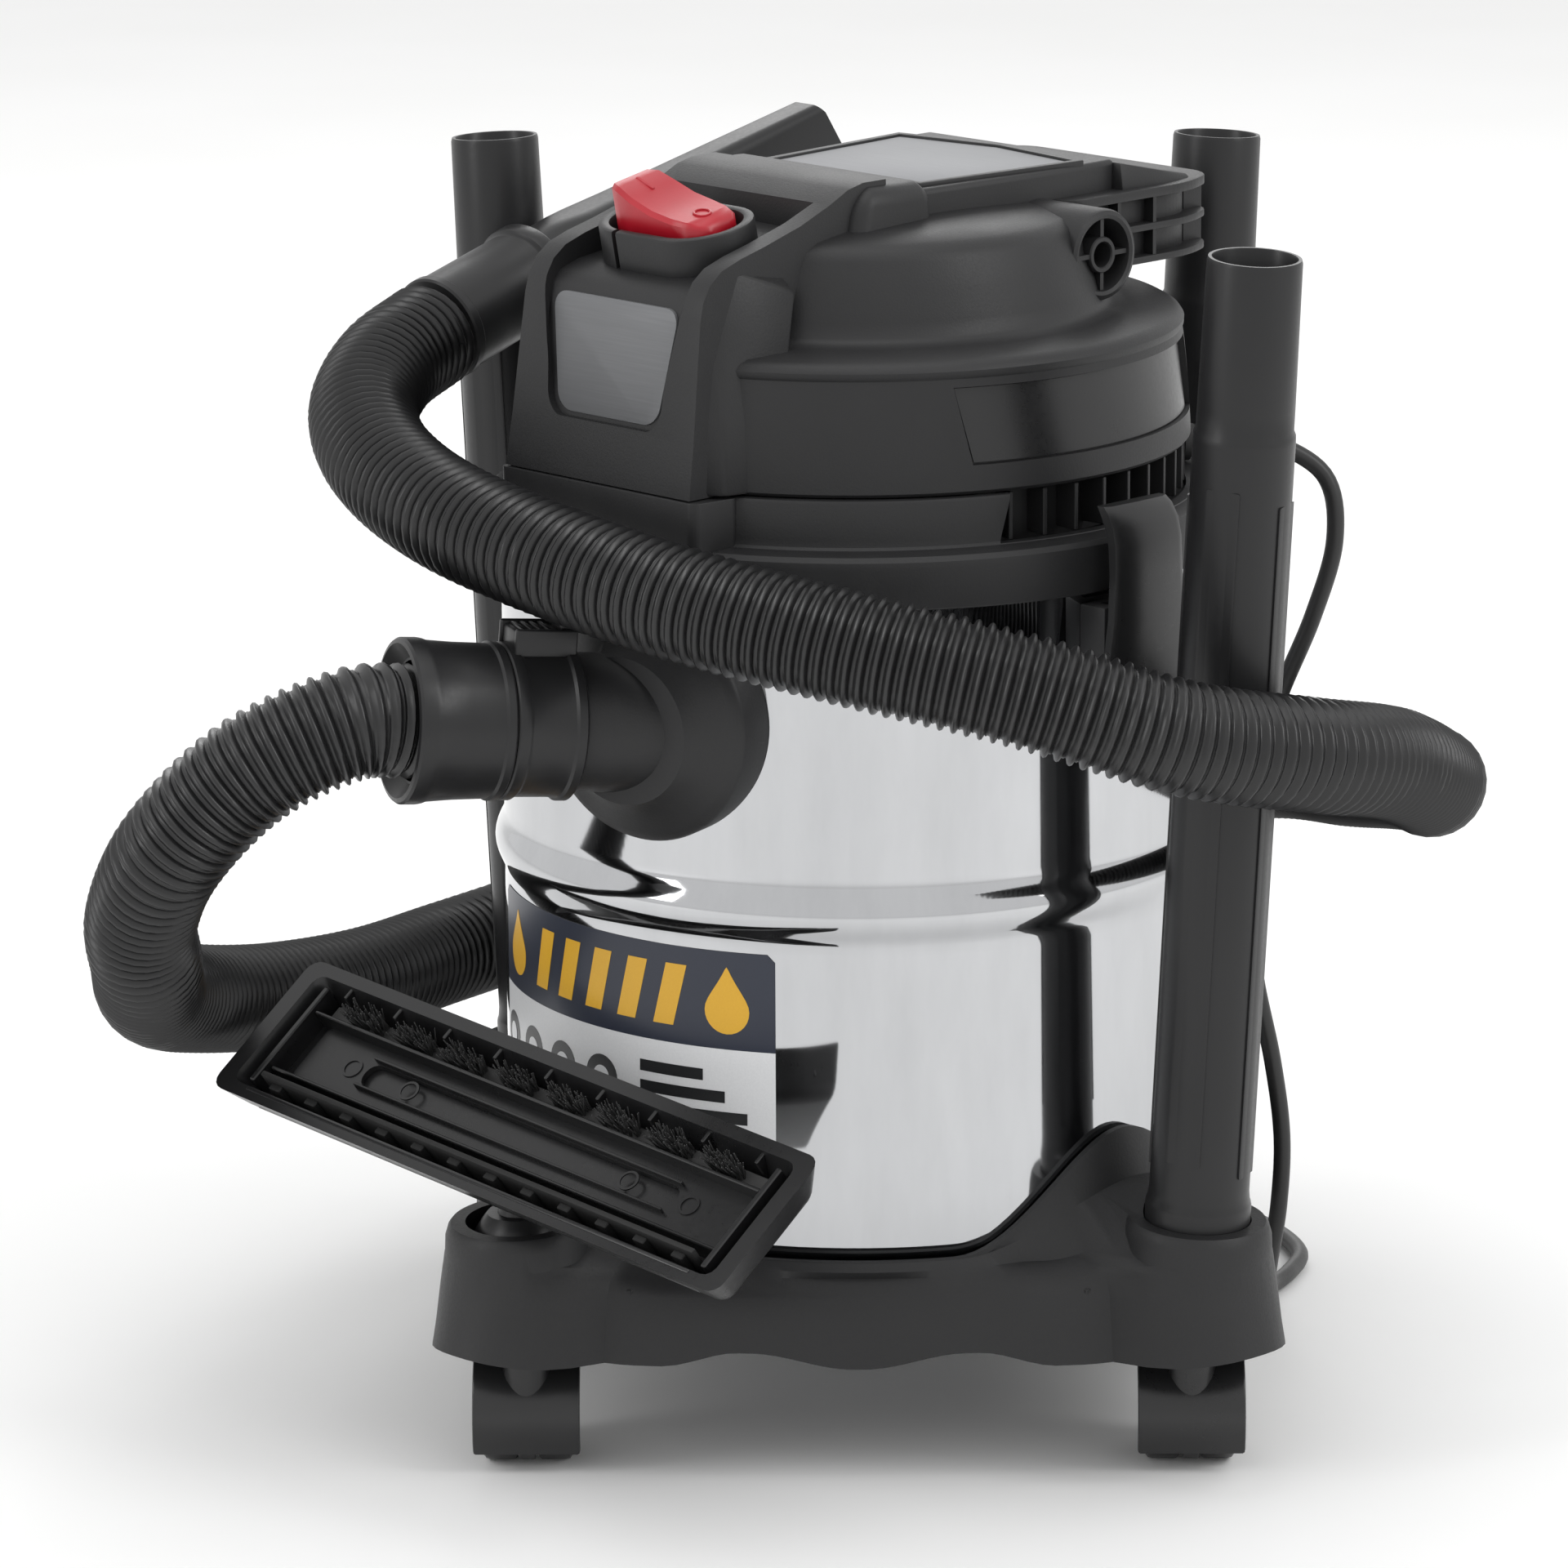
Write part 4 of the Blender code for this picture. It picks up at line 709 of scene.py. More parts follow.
def make_inlet():
    """Coned flange on the drum, the turned port, its locking collar with a clip, and the hose cuff."""
    radial = Vector((PORT_AT.x, PORT_AT.y, 0)).normalized()
    seat = frame_along(PORT_AT, radial)
    port = frame_along(PORT_AT, PORT_WAY)
    flange = moved(turned([(0, -14), (43, -14), (44.6, -12), (45, 3), (44.2, 5), (41, 7.4), (34, 12.5), (29.5, 17),
                           (28, 19), (0, 19)], 96), seat)
    tube = moved(turned([(0, -4), (27, -4), (26.4, 22), (25.6, 24), (25.5, 49.8), (21.5, 50), (0, 50)], 72), port)
    tank = rod((0, 0, 200), (0, 0, 400), DRUM_R - 1.2, sides=128)
    bore = moved(turned([(0, -60), (21.3, -60), (21.3, 60), (0, 60)], 48), port)
    body = carve(flange, ("UNION", tube), ("DIFFERENCE", tank), ("DIFFERENCE", bore))
    piece("inlet_port", body, TEXTURED_PP, ROOT, ["inlet_flange"])
    collar = [(26.0, 33), (28.6, 33), (29.6, 34), (29.6, 37), (28.6, 38), (28.2, 40), (28.2, 54), (28.8, 55),
              (29.4, 56), (29.4, 59.5), (28.8, 60.2), (23.2, 60.2), (23.2, 50.8), (26.0, 50.8)]
    piece("locking_collar", moved(turned(collar, 72, True), port), SMOOTH_PP, ROOT,
          ["inlet_collar"])
    cuff = [(22.4, 60.6), (29.0, 60.6), (29.6, 61.4), (29.6, 64), (28.8, 65), (29.2, 78), (29.9, 88), (30.6, 90),
            (30.9, 92), (30.9, 97), (30.2, 98), (28.6, 98.4), (27.6, 97), (23.4, 93), (22.4, 93)]
    piece("hose_cuff", moved(turned(cuff, 72, True), port), SMOOTH_PP, ROOT, ["inlet_cuff"])
    clip = gather(block(-9, 9, -4.5, 3.5, 37.5, 57, 1.6), block(-11, -8.4, -6, 4.6, 34, 58, 0.9),
                  block(8.4, 11, -6, 4.6, 34, 58, 0.9), block(-8, 8, 2.6, 6.4, 34, 40, 1.2),
                  *[block(-7, 7, 3.0, 4.4, 43 + 3.4 * i, 44.8 + 3.4 * i, 0.6, 2) for i in range(4)])
    lift = PORT_WAY.cross(UP).normalized().cross(PORT_WAY)
    clip_at = frame_along(PORT_AT + lift * 32, PORT_WAY)
    piece("collar_clip", moved(clip, clip_at), SMOOTH_PP, ROOT, ["inlet_button"])


make_drum()
make_label()
make_inlet()


# ------------------------------------------------------------ dolly

def off_post(angle):
    return abs((angle + 45) % 90 - 45)


def skirt_radius(angle):
    """Plan of the dolly: long bowed sides that swell into a round fender at each post."""
    off = off_post(angle)
    side = 151 / math.cos(math.radians(45 - off)) ** 0.75
    reach = math.sin(math.radians(off)) * POST_R
    fender = 0
    if reach < FENDER_R:
        fender = POST_R * math.cos(math.radians(off)) + math.sqrt(max(0, FENDER_R ** 2 - reach ** 2))
    share = 1 / (1 + math.exp(-(fender - side) / 3.5))
    return side * (1 - share) + fender * share


def smooth(t):
    t = min(max(t, 0.0), 1.0)
    return t * t * (3 - 2 * t)


def post_matrix(angle):
    return turn_z(angle) @ Matrix.Translation(POST_AT) @ Matrix.Rotation(POST_LEAN, 4, "Y")


def make_dolly():
    """Moulded base: the rim climbs the drum towards each post, and the skirt has a wavy lower edge."""
    loops = []
    for i in range(216):
        a = 360 * i / 216
        off = off_post(a)
        r = skirt_radius(a)
        near = smooth(1 - off / 30)
        top = 86.5 + 40.5 * near
        ledge = 84 + 14 * smooth(1 - off / 17)
        fender = smooth(1 - off / 15)
        low = 47.5 + 6 * smooth((off - 18) / 10) - 6 * smooth((off - 30) / 14) + 6 * fender
        section = [(60, 76), (60, 81), (137.7, 81), (138.3, 82), (138.5, top - 1.2), (139.4, top), (142.0, top),
                   (143.2, top - 1.6), (145 + 3 * near, 87 + 22 * near), (max(147, r - 16), ledge),
                   (r - 6.5, ledge - 3), (r - 3.2, ledge - 7), (r - 1.0, 74), (r + 0.5 + 1.5 * fender, low + 8),
                   (r + 1.0 + 3.5 * fender, low), (r - 1.6 + 3.5 * fender, low), (r - 3, 66),
                   (r - 6.5, ledge - 12), (max(142, r - 18), ledge - 8)]
        c, s = math.cos(math.radians(a)), math.sin(math.radians(a))
        loops.append([(q * c, q * s, z) for q, z in section])
    body = skin(loops, around=True)
    steps = []
    for angle in SIDES.values():
        m = post_matrix(angle)
        tower = turned([(0, -8), (29, -8), (29, 26), (28.4, 33), (27.2, 36.6), (26.0, 38), (0, 38)], 64)
        steps.append(("UNION", moved(tower, m)))
        x, y = m.translation.x, m.translation.y
        disc = turned([(0, 48.6), (26.5, 48.6), (28.2, 50), (28.6, 55), (28.2, 66), (0, 66)], 64)
        steps.append(("UNION", moved(disc, Matrix.Translation((x, y, 0)))))
    for angle in SIDES.values():
        m = post_matrix(angle)
        bore = turned([(0, 2.4), (20.4, 2.4), (20.6, 60), (0, 60)], 64)
        steps.append(("DIFFERENCE", moved(bore, m)))
        foot = m.translation
        steps.append(("DIFFERENCE", rod((foot.x, foot.y, 40), (foot.x, foot.y, 61.5), 5.3, sides=24)))
    body = carve(body, *steps)
    ribs = []
    for angle in SIDES.values():
        for side in (-1, 1):
            rib = block(146, 168, -1.2, 1.2, 60, 76.5, 0.4, 1)
            ribs.append(moved(rib, turn_z(angle + side * 14)))
    piece("dolly_body", gather(body, *ribs), DOLLY_PP, ROOT, ["base_dolly"], crease=36)


def make_caster(side, angle):
    """Twin-wheel caster: a deep hood over both wheels with a half-round stem boss in front."""
    foot = turn_z(angle) @ Vector((POST_R, 0, 0))
    m = Matrix.Translation((foot.x, foot.y, 0)) @ turn_z(CASTER_HEADING)
    outline = []
    for i in range(25):
        a = math.radians(-28 + 178 * i / 24)
        outline.append((CASTER_TRAIL + 25.0 * math.cos(a), WHEEL_R + 25.0 * math.sin(a)))
    for i in range(25):
        a = math.radians(150 - 178 * i / 24)
        outline.append((CASTER_TRAIL + 21.5 * math.cos(a), WHEEL_R + 21.5 * math.sin(a)))
    lay = Matrix.Rotation(math.radians(90), 4, "X")
    hood = moved(prism(outline, -20.4, 20.4), lay)
    soften(hood, [e for e in hood.edges if e.calc_face_angle(0) > 0.8 and e.calc_length() < 12], 1.0, 2)
    web = moved(turned([(0, -3.1), (22.2, -3.1), (22.6, -2.6), (22.6, 2.6), (22.2, 3.1), (0, 3.1)], 48), lay)
    bmesh.ops.bisect_plane(web, geom=web.verts[:] + web.edges[:] + web.faces[:], plane_co=(0, 0, -15.5),
                           plane_no=(0, 0, -1), clear_outer=True)
    bmesh.ops.holes_fill(web, edges=[e for e in web.edges if e.is_boundary])
    moved(web, Matrix.Translation((CASTER_TRAIL, 0, WHEEL_R)))
    column = turned([(0, 22), (5, 22.6), (8.6, 26), (9.2, 32), (9.2, 47.4), (8.4, 48.2), (0, 48.2)], 40)
    stem = turned([(0, 47), (5, 47), (5, 60), (4, 60.8), (0, 60.8)], 24)
    body = gather(hood, web, column, stem)
    piece("caster_hood_" + side, moved(body, m), GLOSS_ABS, "swivel_" + side, ["caster_" + side],
          crease=36)
    loop = []
    for s in (-1, 1):
        face = [(0, 4), (8, 4), (8.5, 4.4), (16, 4.4), (17.5, 4), (19.2, 4.3), (19.9, 5.2), (20, 7), (20, 14.2),
                (19.6, 16), (18.2, 17), (16.4, 16.8), (15.8, 15.2), (7, 14.6), (6.2, 16.2), (0, 16.6)]
        wheel = turned(face, 64)
        if s < 0:
            moved(wheel, Matrix.Rotation(math.pi, 4, "X"))
        loop.append(wheel)
    axle = turned([(0, -16.8), (2.8, -16.8), (3, -16.4), (3, 16.4), (2.8, 16.8), (0, 16.8)], 24)
    wheels = gather(*loop, axle)
    moved(wheels, Matrix.Translation((CASTER_TRAIL, 0, WHEEL_R)) @ lay)
    piece("twin_wheels_" + side, moved(wheels, m), SMOOTH_PP, "wheelset_" + side,
          ["wheels_" + side], crease=36)


def make_wand(side, angle):
    """Extension tube: a smooth female foot, a body with long flats, and a smooth tapered tip."""
    loop = [(19.4, 3), (20, 3.8), (20, 44), (19.7, 45.5), (19.3, 46.5), (18.9, 50), (18.9, 340), (18.8, 342.6),
            (18.0, 344.4), (18.0, 352), (17.5, 406.6), (17.1, 408), (15.9, 408), (15.6, 407.4), (15.9, 340),
            (16.3, 50), (17.6, 46), (17.8, 3.4), (18.2, 3)]
    tube = turned(loop, 72, True)
    strips = []
    for turn in (0, 90, 180, 270):
        strip = block(17.6, 19.5, -6.8, 6.8, 58, 318, 0.9, 2)
        for v in strip.verts:
            if v.co.x > 18.4:
                v.co.x = math.sqrt(max(1, 19.45 ** 2 - v.co.y ** 2)) + 0.1
            else:
                v.co.x = 17.4
        bmesh.ops.translate(strip, vec=(0, 0, 6 if turn % 180 else 0), verts=strip.verts)
        strips.append(moved(strip, turn_z(turn + 20)))
    m = post_matrix(angle)
    piece("long_tube_" + side, moved(gather(tube, *strips), m), SMOOTH_PP, "wand_" + side,
          ["tube_" + side], crease=30)


make_dolly()
for name, angle in SIDES.items():
    make_caster(name, angle)
for name in ("right", "back", "left"):
    make_wand(name, SIDES[name])


# ------------------------------------------------------------ head

def curved_cutter(a0, a1, r0, r1, z0, z1, slant=0.0, steps=24, draw=0.0, face_draw=0.0):
    """A block rolled about the drum axis, which may taper from bottom to top.

    Slant leans its ends, in degrees; draw and face_draw pull its inner and outer walls inwards.
    """
    loops = []
    for i in range(steps + 1):
        a = a0 + (a1 - a0) * i / steps
        loop = []
        for r, z in ((r0, z0), (r1, z0), (r1 - face_draw, z1), (r0 - draw, z1)):
            t = math.radians(a + slant * (z - z0) / (z1 - z0))
            loop.append((r * math.cos(t), r * math.sin(t), z))
        loops.append(loop)
    return skin(loops)


def make_lower_housing():
    """Ring over the tank rim, motor deck, and the band with its slanted vent windows."""
    loop = [(44, 350.6), (138.6, 350.6), (138.6, 337.4), (139.0, 337), (141.2, 337), (141.6, 337.6), (142.0, 352.6),
            (141.6, 355), (140.0, 356.8), (137.5, 357.3), (131.6, 357.6), (130.5, 358.6), (130.1, 361), (130, 374.6),
            (129.4, 375.8), (128.2, 376.2), (127, 376.2), (127, 354), (44, 354)]
    steps = []
    for start, end, slant in VENT_WINDOWS:
        steps.append(("DIFFERENCE", curved_cutter(start, end, 121, 137, 357.9, 380, slant)))
    body = carve(turned(loop, 144, True), *steps)
    foot = prism(round_corners([(-53, -137.6), (53, -137.6), (55.5, -116), (-55.5, -116)], 3.5), 354, 376, 1.0, 2)
    piece("lower_housing", gather(body, foot), TEXTURED_PP, HEAD, ["head_housing"])


def make_vent_fins():
    fins = [turned([(113.5, 354.6), (115.5, 354.6), (115.5, 375.9), (113.5, 375.9)], 96, True)]
    for start in (-18, 108):
        for i in range(14):
            fins.append(moved(block(114.5, 126.2, -0.9, 0.9, 357.8, 375.9, 0.3, 1), turn_z(start + 6.8 * i)))
    piece("vent_fins", gather(*fins), TEXTURED_PP, HEAD, ["vent_grille"])


def side_prism(outline, half):
    """Extrudes a side view of (y, z) points across the machine."""
    across = Matrix(((0, 0, 1, 0), (1, 0, 0, 0), (0, 1, 0, 0), (0, 0, 0, 1)))
    return moved(prism(outline, -half, half), across)


def console_block():
    """Front console: it rises from the band, rolls back over its brow and climbs to the ridge.

    A shallow channel runs up its front, turns over the brow and becomes the pocket round the switch.
    """
    shape = side_prism([(-137, 376.6), (-135.6, 386), (-134, 396), (-131, 420), (-128.2, 442), (-126.4, 449),
                        (-122.6, 455), (-116.6, 459.4), (-107, 462.6), (-94, 465.8), (-75, 471.2), (-60, 477),
                        (-50, 481.6), (-42, 483.4), (-30, 483.4), (-30, 377)], 50)
    flanks = [e for e in shape.edges if abs(e.verts[0].co.x - e.verts[1].co.x) < 0.01 and
              min(v.co.z for v in e.verts) > 380 and max(v.co.y for v in e.verts) < -29]
    soften(shape, flanks, 4.5, 4)
    for v in shape.verts:
        v.co.x *= 1 - 0.065 * (v.co.z - 376.6) / 86
    channel = side_prism([(-145, 398.5), (-130.9, 398.5), (-128.4, 418), (-125.6, 440), (-123.4, 446.4),
                          (-119, 450.6), (-110, 453.4), (-96, 455.2), (-62, 458.6), (-57, 500), (-145, 500)], 37.5)
    corners = [e for e in channel.edges if all(v.co.z < 399 for v in e.verts) and
               abs(e.verts[0].co.x - e.verts[1].co.x) < 0.01 and e.calc_length() > 5]
    soften(channel, corners, 8, 6)
    for v in channel.verts:
        if v.co.z < 446:
            v.co.x *= 0.745 + 0.255 * smooth((v.co.z - 385) / 61)
    return carve(shape, ("DIFFERENCE", channel))


def lean_front():
    """Frame on the console's sloping front: x across, y up the slope, z outwards."""
    out = Vector((0, -math.cos(CONSOLE_LEAN), math.sin(CONSOLE_LEAN)))
    up = Vector((0, math.sin(CONSOLE_LEAN), math.cos(CONSOLE_LEAN)))
    turn = Matrix((Vector((1, 0, 0)), up, out)).transposed().to_4x4()
    return Matrix.Translation((0, -128.0, 421.5)) @ turn


def bezel(outer, inner, z0, z1, rounding=0.6):
    """A flat frame between two outlines with the same number of points."""
    bm = bmesh.new()
    edges = []
    for outline in (outer, inner):
        corners = [bm.verts.new((x, y, z0)) for x, y in outline]
        edges += [bm.edges.new((corners[i - 1], corners[i])) for i in range(len(corners))]
    bmesh.ops.bridge_loops(bm, edges=edges)
    made = bmesh.ops.extrude_face_region(bm, geom=bm.faces[:])
    top = [v for v in made["geom"] if isinstance(v, bmesh.types.BMVert)]
    bmesh.ops.translate(bm, vec=(0, 0, z1 - z0), verts=top)
    bmesh.ops.recalc_face_normals(bm, faces=bm.faces)
    if rounding:
        soften(bm, [e for e in bm.edges if e.calc_face_angle(0) > 1.2], rounding, 2)
    return bm


def make_upper_housing():
    """Two turned tiers with a sunk panel on each flank, the crown, the console and the ridge between them."""
    tiers = turned([(0, 376.7), (127.4, 376.7), (128.6, 378), (128.4, 382), (127.6, 396), (126.0, 412), (125.0, 419.6),
                    (125.6, 420.6), (125.7, 422.6), (124.4, 424.6), (121.5, 426.2), (104, 427.6), (99.5, 428.6),
                    (97.2, 430.6), (95.4, 436), (92.2, 447), (88.4, 457.4), (86.4, 460.8), (82, 463.6), (70, 466),
                    (40, 468.4), (0, 469.2)], 160)
    steps = []
    for a0, a1, slant in FLANK_PANELS:
        steps.append(("DIFFERENCE", curved_cutter(a0, a1, 125.4, 140, 387.5, 416.5, slant, draw=PANEL_DRAW)))
    tiers = carve(tiers, *steps)
    crown = prism(round_corners([(-47, -20), (47, -20), (51, 60), (50.4, 92), (-50.4, 92), (-51, 60)], 3),
                  448, 477.4)
    soften(crown, [e for e in crown.edges if all(v.co.z > 477 for v in e.verts)], 2.4, 3)
    rim = bezel([(-43, -9), (43, -9), (50, 74), (0, 82), (-50, 74)], [(-40, -5.4), (40, -5.4), (46.6, 71), (0, 78),
                                                                      (-46.6, 71)], 476, 479.0, 0.5)
    ridge = block(-54, 54, -58, -9, 440, 484.6)
    soften(ridge, [e for e in ridge.edges if all(v.co.z > 484 for v in e.verts) or
                   abs(e.verts[0].co.z - e.verts[1].co.z) > 1], 7, 5)
    for v in ridge.verts:
        if v.co.z > 470:
            v.co.z -= 0.010 * (v.co.y + 34) ** 2
        t = (v.co.z - 440) / 44.6
        v.co.x *= 1 - 0.05 * t
        if v.co.y < -34:
            v.co.y += 12 * t
    brackets = []
    for s in (-1, 1):
        wing = skin([[(s * 44, -133, 377), (s * 55.5, -124, 377), (s * 62, -100, 377), (s * 44, -100, 377)],
                     [(s * 44, -131, 404), (s * 53.0, -122, 404), (s * 61, -98, 404), (s * 44, -98, 404)],
                     [(s * 44, -124, 440), (s * 48.5, -116, 436), (s * 56, -90, 430), (s * 44, -90, 436)],
                     [(s * 43, -113, 460), (s * 46.8, -108, 458), (s * 53, -84, 448), (s * 43, -84, 456)]])
        soften(wing, [e for e in wing.edges if e.calc_face_angle(0) > 0.4], 1.6, 2)
        brackets.append(wing)
    shapes = gather(tiers, crown, rim, console_block(), ridge, *brackets)
    piece("upper_housing", shapes, TEXTURED_PP, HEAD, ["head_cover"])


def make_flank_panels():
    """Glossy inserts set into the sunk panel on each flank."""
    panels = [curved_cutter(a0 + 0.4, a1 - 0.4, 124.2, 126.2, 388.2, 415.8, slant, draw=PANEL_DRAW,
                            face_draw=PANEL_DRAW) for a0, a1, slant in FLANK_PANELS]
    piece("flank_panels", gather(*panels), GLOSS_ABS, HEAD)


def make_plates():
    face = lean_front()
    plate = prism(round_corners([(-26.6, -21.4), (26.6, -21.4), (34.0, 23.0), (-34.0, 23.0)], 7, 6),
                  -2, 0.7, 0.25, 2)
    piece("front_inlay", moved(plate, face), FRONT_INLAY, HEAD, ["front_plate"])
    top = prism([(-39.7, -5.1), (39.7, -5.1), (46.3, 70.8), (0, 77.7), (-46.3, 70.8)], 476.6, 478.0, 0.3, 2)
    piece("top_inlay", top, TOP_INLAY, HEAD, ["top_plate"])


def make_handle():
    """Carrying handle: a bridge across the back with three flanges, upright webs and a hollow boss each side."""
    outer = round_corners([(-60, 56), (-60, 124), (-50, 146), (50, 146), (60, 124), (60, 56)], 9, 6)
    core = round_corners([(-54.5, 56), (-54.5, 122), (-45.5, 137), (45.5, 137), (54.5, 122), (54.5, 56)], 8, 6)
    gap = round_corners([(-50.6, 50), (-50.6, 91), (-43.5, 95), (-42.5, 128), (42.5, 128), (43.5, 95), (50.6, 91),
                         (50.6, 50)], 5, 4)
    shapes = []
    for outline, z0, z1 in ((core, 438.5, 464), (outer, 437, 439.8), (outer, 449.6, 452.4), (outer, 462.2, 466)):
        slab = prism(outline, z0, z1, 0.6, 2)
        hole = prism(gap, 420, 480)
        clear = turned([(0, 400), (129.0, 400), (125.6, 419), (126.4, 424), (122, 426.8), (100, 429),
                        (97.6, 431), (95.8, 436.4), (92.6, 447.4), (88.8, 457.8), (86.4, 461.6), (70, 466.6),
                        (0, 470)], 96)
        shapes.append(carve(slab, ("DIFFERENCE", hole), ("DIFFERENCE", clear)))
    for x in (-46, -23, 0, 23, 46):
        shapes.append(block(x - 0.9, x + 0.9, 134, 145.3 - abs(x) * 0.02, 438, 464.5))
    for s in (-1, 1):
        for y in (84, 104):
            shapes.append(block(min(s * 53, s * 59.4), max(s * 53, s * 59.4), y - 0.9, y + 0.9, 438, 464.5))
        arm = skin([[(s * 43.5, 90, 463), (s * 56, 90, 463), (s * 54, 90, 476.6), (s * 45.5, 90, 476.6)],
                    [(s * 43.5, 112, 463), (s * 56.5, 112, 463), (s * 54.5, 112, 471.5), (s * 45.5, 112, 471.5)],
                    [(s * 43.5, 130, 463), (s * 54, 132, 463), (s * 52, 131, 467.4), (s * 45.5, 130, 467.4)]])
        soften(arm, [e for e in arm.edges if e.calc_face_angle(0) > 0.6], 1.2, 2)
        shapes.append(arm)
        lay = Matrix.Translation((0, 48, 449.5)) @ Matrix.Rotation(math.radians(90 * s), 4, "Y")
        barrel = [(0, 48), (17.6, 48), (17.6, 83.6), (17.0, 85), (15.4, 85.6), (14.0, 85), (13.6, 83.6), (13.2, 73),
                  (0, 73)]
        inner = [(0, 71), (7.0, 71), (7.0, 84), (6.6, 84.6), (5.2, 84.6), (4.8, 84), (4.8, 75), (0, 75)]
        parts = [turned(barrel, 64), turned(inner, 40)]
        for k in range(4):
            spoke = block(6.4, 13.6, -0.9, 0.9, 72, 84.0)
            parts.append(moved(spoke, turn_z(90 * k)))
        shapes.append(moved(gather(*parts), lay))
    piece("carry_handle", gather(*shapes), TEXTURED_PP, HEAD, ["handle"])


def make_switch():
    """Split oval cup and the saddle-shaped rocker with its raised bar and ring marks."""
    at = Matrix.Translation((0, -94, 0))
    outer = oblong(66, 42, 20.6, 10)
    inner = oblong(57.5, 33.5, 16.5, 10)
    cup = bezel(outer, inner, 452.0, 471.0, 1.1)
    slit = block(-13.6, -11.4, -26, -14, 453.0, 480)
    cup = carve(cup, ("DIFFERENCE", slit))
    floor = prism(oblong(58, 34, 16.8, 8), 455.5, 460)
    pins = [rod((0, s * 13.2, 466), (0, s * 17.2, 466), 2.0, sides=16) for s in (-1, 1)]
    hub = Matrix.Translation((0, 0, 466))
    pitch = hub @ Matrix.Rotation(CUP_PITCH, 4, "X") @ hub.inverted()
    piece("switch_cup_oval", moved(gather(cup, floor, *pins), at @ pitch), TEXTURED_PP, HEAD,
          ["switch_cup"])
    loops = []
    for x, half, low, high in ((-24.6, 5.0, 466.5, 480.5), (-24.0, 7.4, 465.5, 484.2), (-21.5, 10.2, 464.0, 485.2),
                               (-17, 12.0, 462.5, 484.8), (-10, 12.9, 460.5, 481.6), (0, 13.0, 459.2, 477.8),
                               (10, 12.9, 460.5, 475.8), (17, 12.0, 463.0, 474.8), (21.5, 10.2, 465.0, 474.0),
                               (24.0, 7.4, 466.2, 472.8), (24.6, 5.0, 466.8, 471.4)):
        loops.append([(x, -half, low), (x, half, low), (x, half, high - 1.6), (x, half - 1.6, high),
                      (x, -half + 1.6, high), (x, -half, high - 1.6)])
    rocker = skin(loops)
    rocker = carve(rocker, ("DIFFERENCE", rod((0, -20, 466), (0, 20, 466), 2.3, sides=20)))
    bar = block(-4.6, 4.6, -0.8, 0.8, -0.3, 0.45, 0.3, 1)
    moved(bar, Matrix.Translation((-14, 0, 483.3)) @ Matrix.Rotation(math.radians(22), 4, "Y"))
    ring = turned([(2.6, -0.4), (3.6, -0.4), (3.6, 0.3), (3.3, 0.5), (2.9, 0.5), (2.6, 0.3)], 32, True)
    moved(ring, Matrix.Translation((15, 0, 475.2)) @ Matrix.Rotation(math.radians(9), 4, "Y"))
    piece("red_rocker", moved(gather(rocker, bar, ring), at @ pitch), RED_NYLON, "switch_rocker",
          ["rocker_switch"], crease=42)


def make_latch(side, turn):
    """Long curved clamp lever on a ribbed bracket."""
    m = turn_z(turn)
    back = block(136, 149, -19, 19, 296, 333, 1.2, 2)
    tank = rod((0, 0, 200), (0, 0, 400), DRUM_R + 0.1, sides=128)
    slot = block(141.4, 160, -13.5, 13.5, 290, 340)
    bracket = carve(back, ("DIFFERENCE", tank), ("DIFFERENCE", slot))
    ribs = [block(140, 142.4, y - 0.7, y + 0.7, 298, 331, 0.3, 1) for y in (-9, -3, 3, 9)]
    pin = rod((146.5, -17, 306), (146.5, 17, 306), 2.4, sides=24)
    piece("clamp_bracket_" + side, moved(gather(bracket, pin, *ribs), m), TEXTURED_PP, ROOT,
          ["latch_bracket_" + side])
    loops = []
    for z, r0, r1, half in ((289.8, 151.6, 154.0, 25.0), (292, 151.0, 155.0, 25.6), (300, 150.8, 155.2, 24.4),
                            (312, 150.8, 155.4, 21.6), (328, 150.8, 155.4, 19.2), (345, 150.6, 155.2, 18.2),
                            (356, 149.8, 154.8, 18.0), (363, 147.8, 153.2, 17.8), (368, 145.0, 150.4, 17.4),
                            (370.5, 142.8, 147.6, 16.8)):
        loops.append([(r0, -half, z), (r1 - 1.4, -half, z), (r1, -half + 3.2, z), (r1 + 0.4, 0, z),
                      (r1, half - 3.2, z), (r1 - 1.4, half, z), (r0, half, z)])
    blade = skin(loops)
    barrel = rod((146.5, -13, 306), (146.5, 13, 306), 4.6, sides=32)
    arm = block(148.4, 152.6, -13, 13, 304, 336, 0.8, 2)
    bore = rod((146.5, -20, 306), (146.5, 20, 306), 2.7, sides=24)
    lever = carve(barrel, ("UNION", arm), ("DIFFERENCE", bore))
    piece("clamp_lever_" + side, moved(gather(lever, blade), m), GLOSS_ABS, "clamp_" + side,
          ["latch_" + side])


make_lower_housing()
make_vent_fins()
make_upper_housing()
make_flank_panels()
make_plates()
make_handle()
make_switch()
make_latch("right", 0)
make_latch("left", 180)


# ------------------------------------------------------------ floor tool, hose end and gland

def nozzle_matrix():
    at = Matrix.Translation((4, -190, 141))
    yaw = Matrix.Rotation(math.radians(1), 4, "Z")
    drop = Matrix.Rotation(math.radians(5), 4, "Y")
    return at @ yaw @ drop @ Matrix.Rotation(math.radians(38), 4, "X")


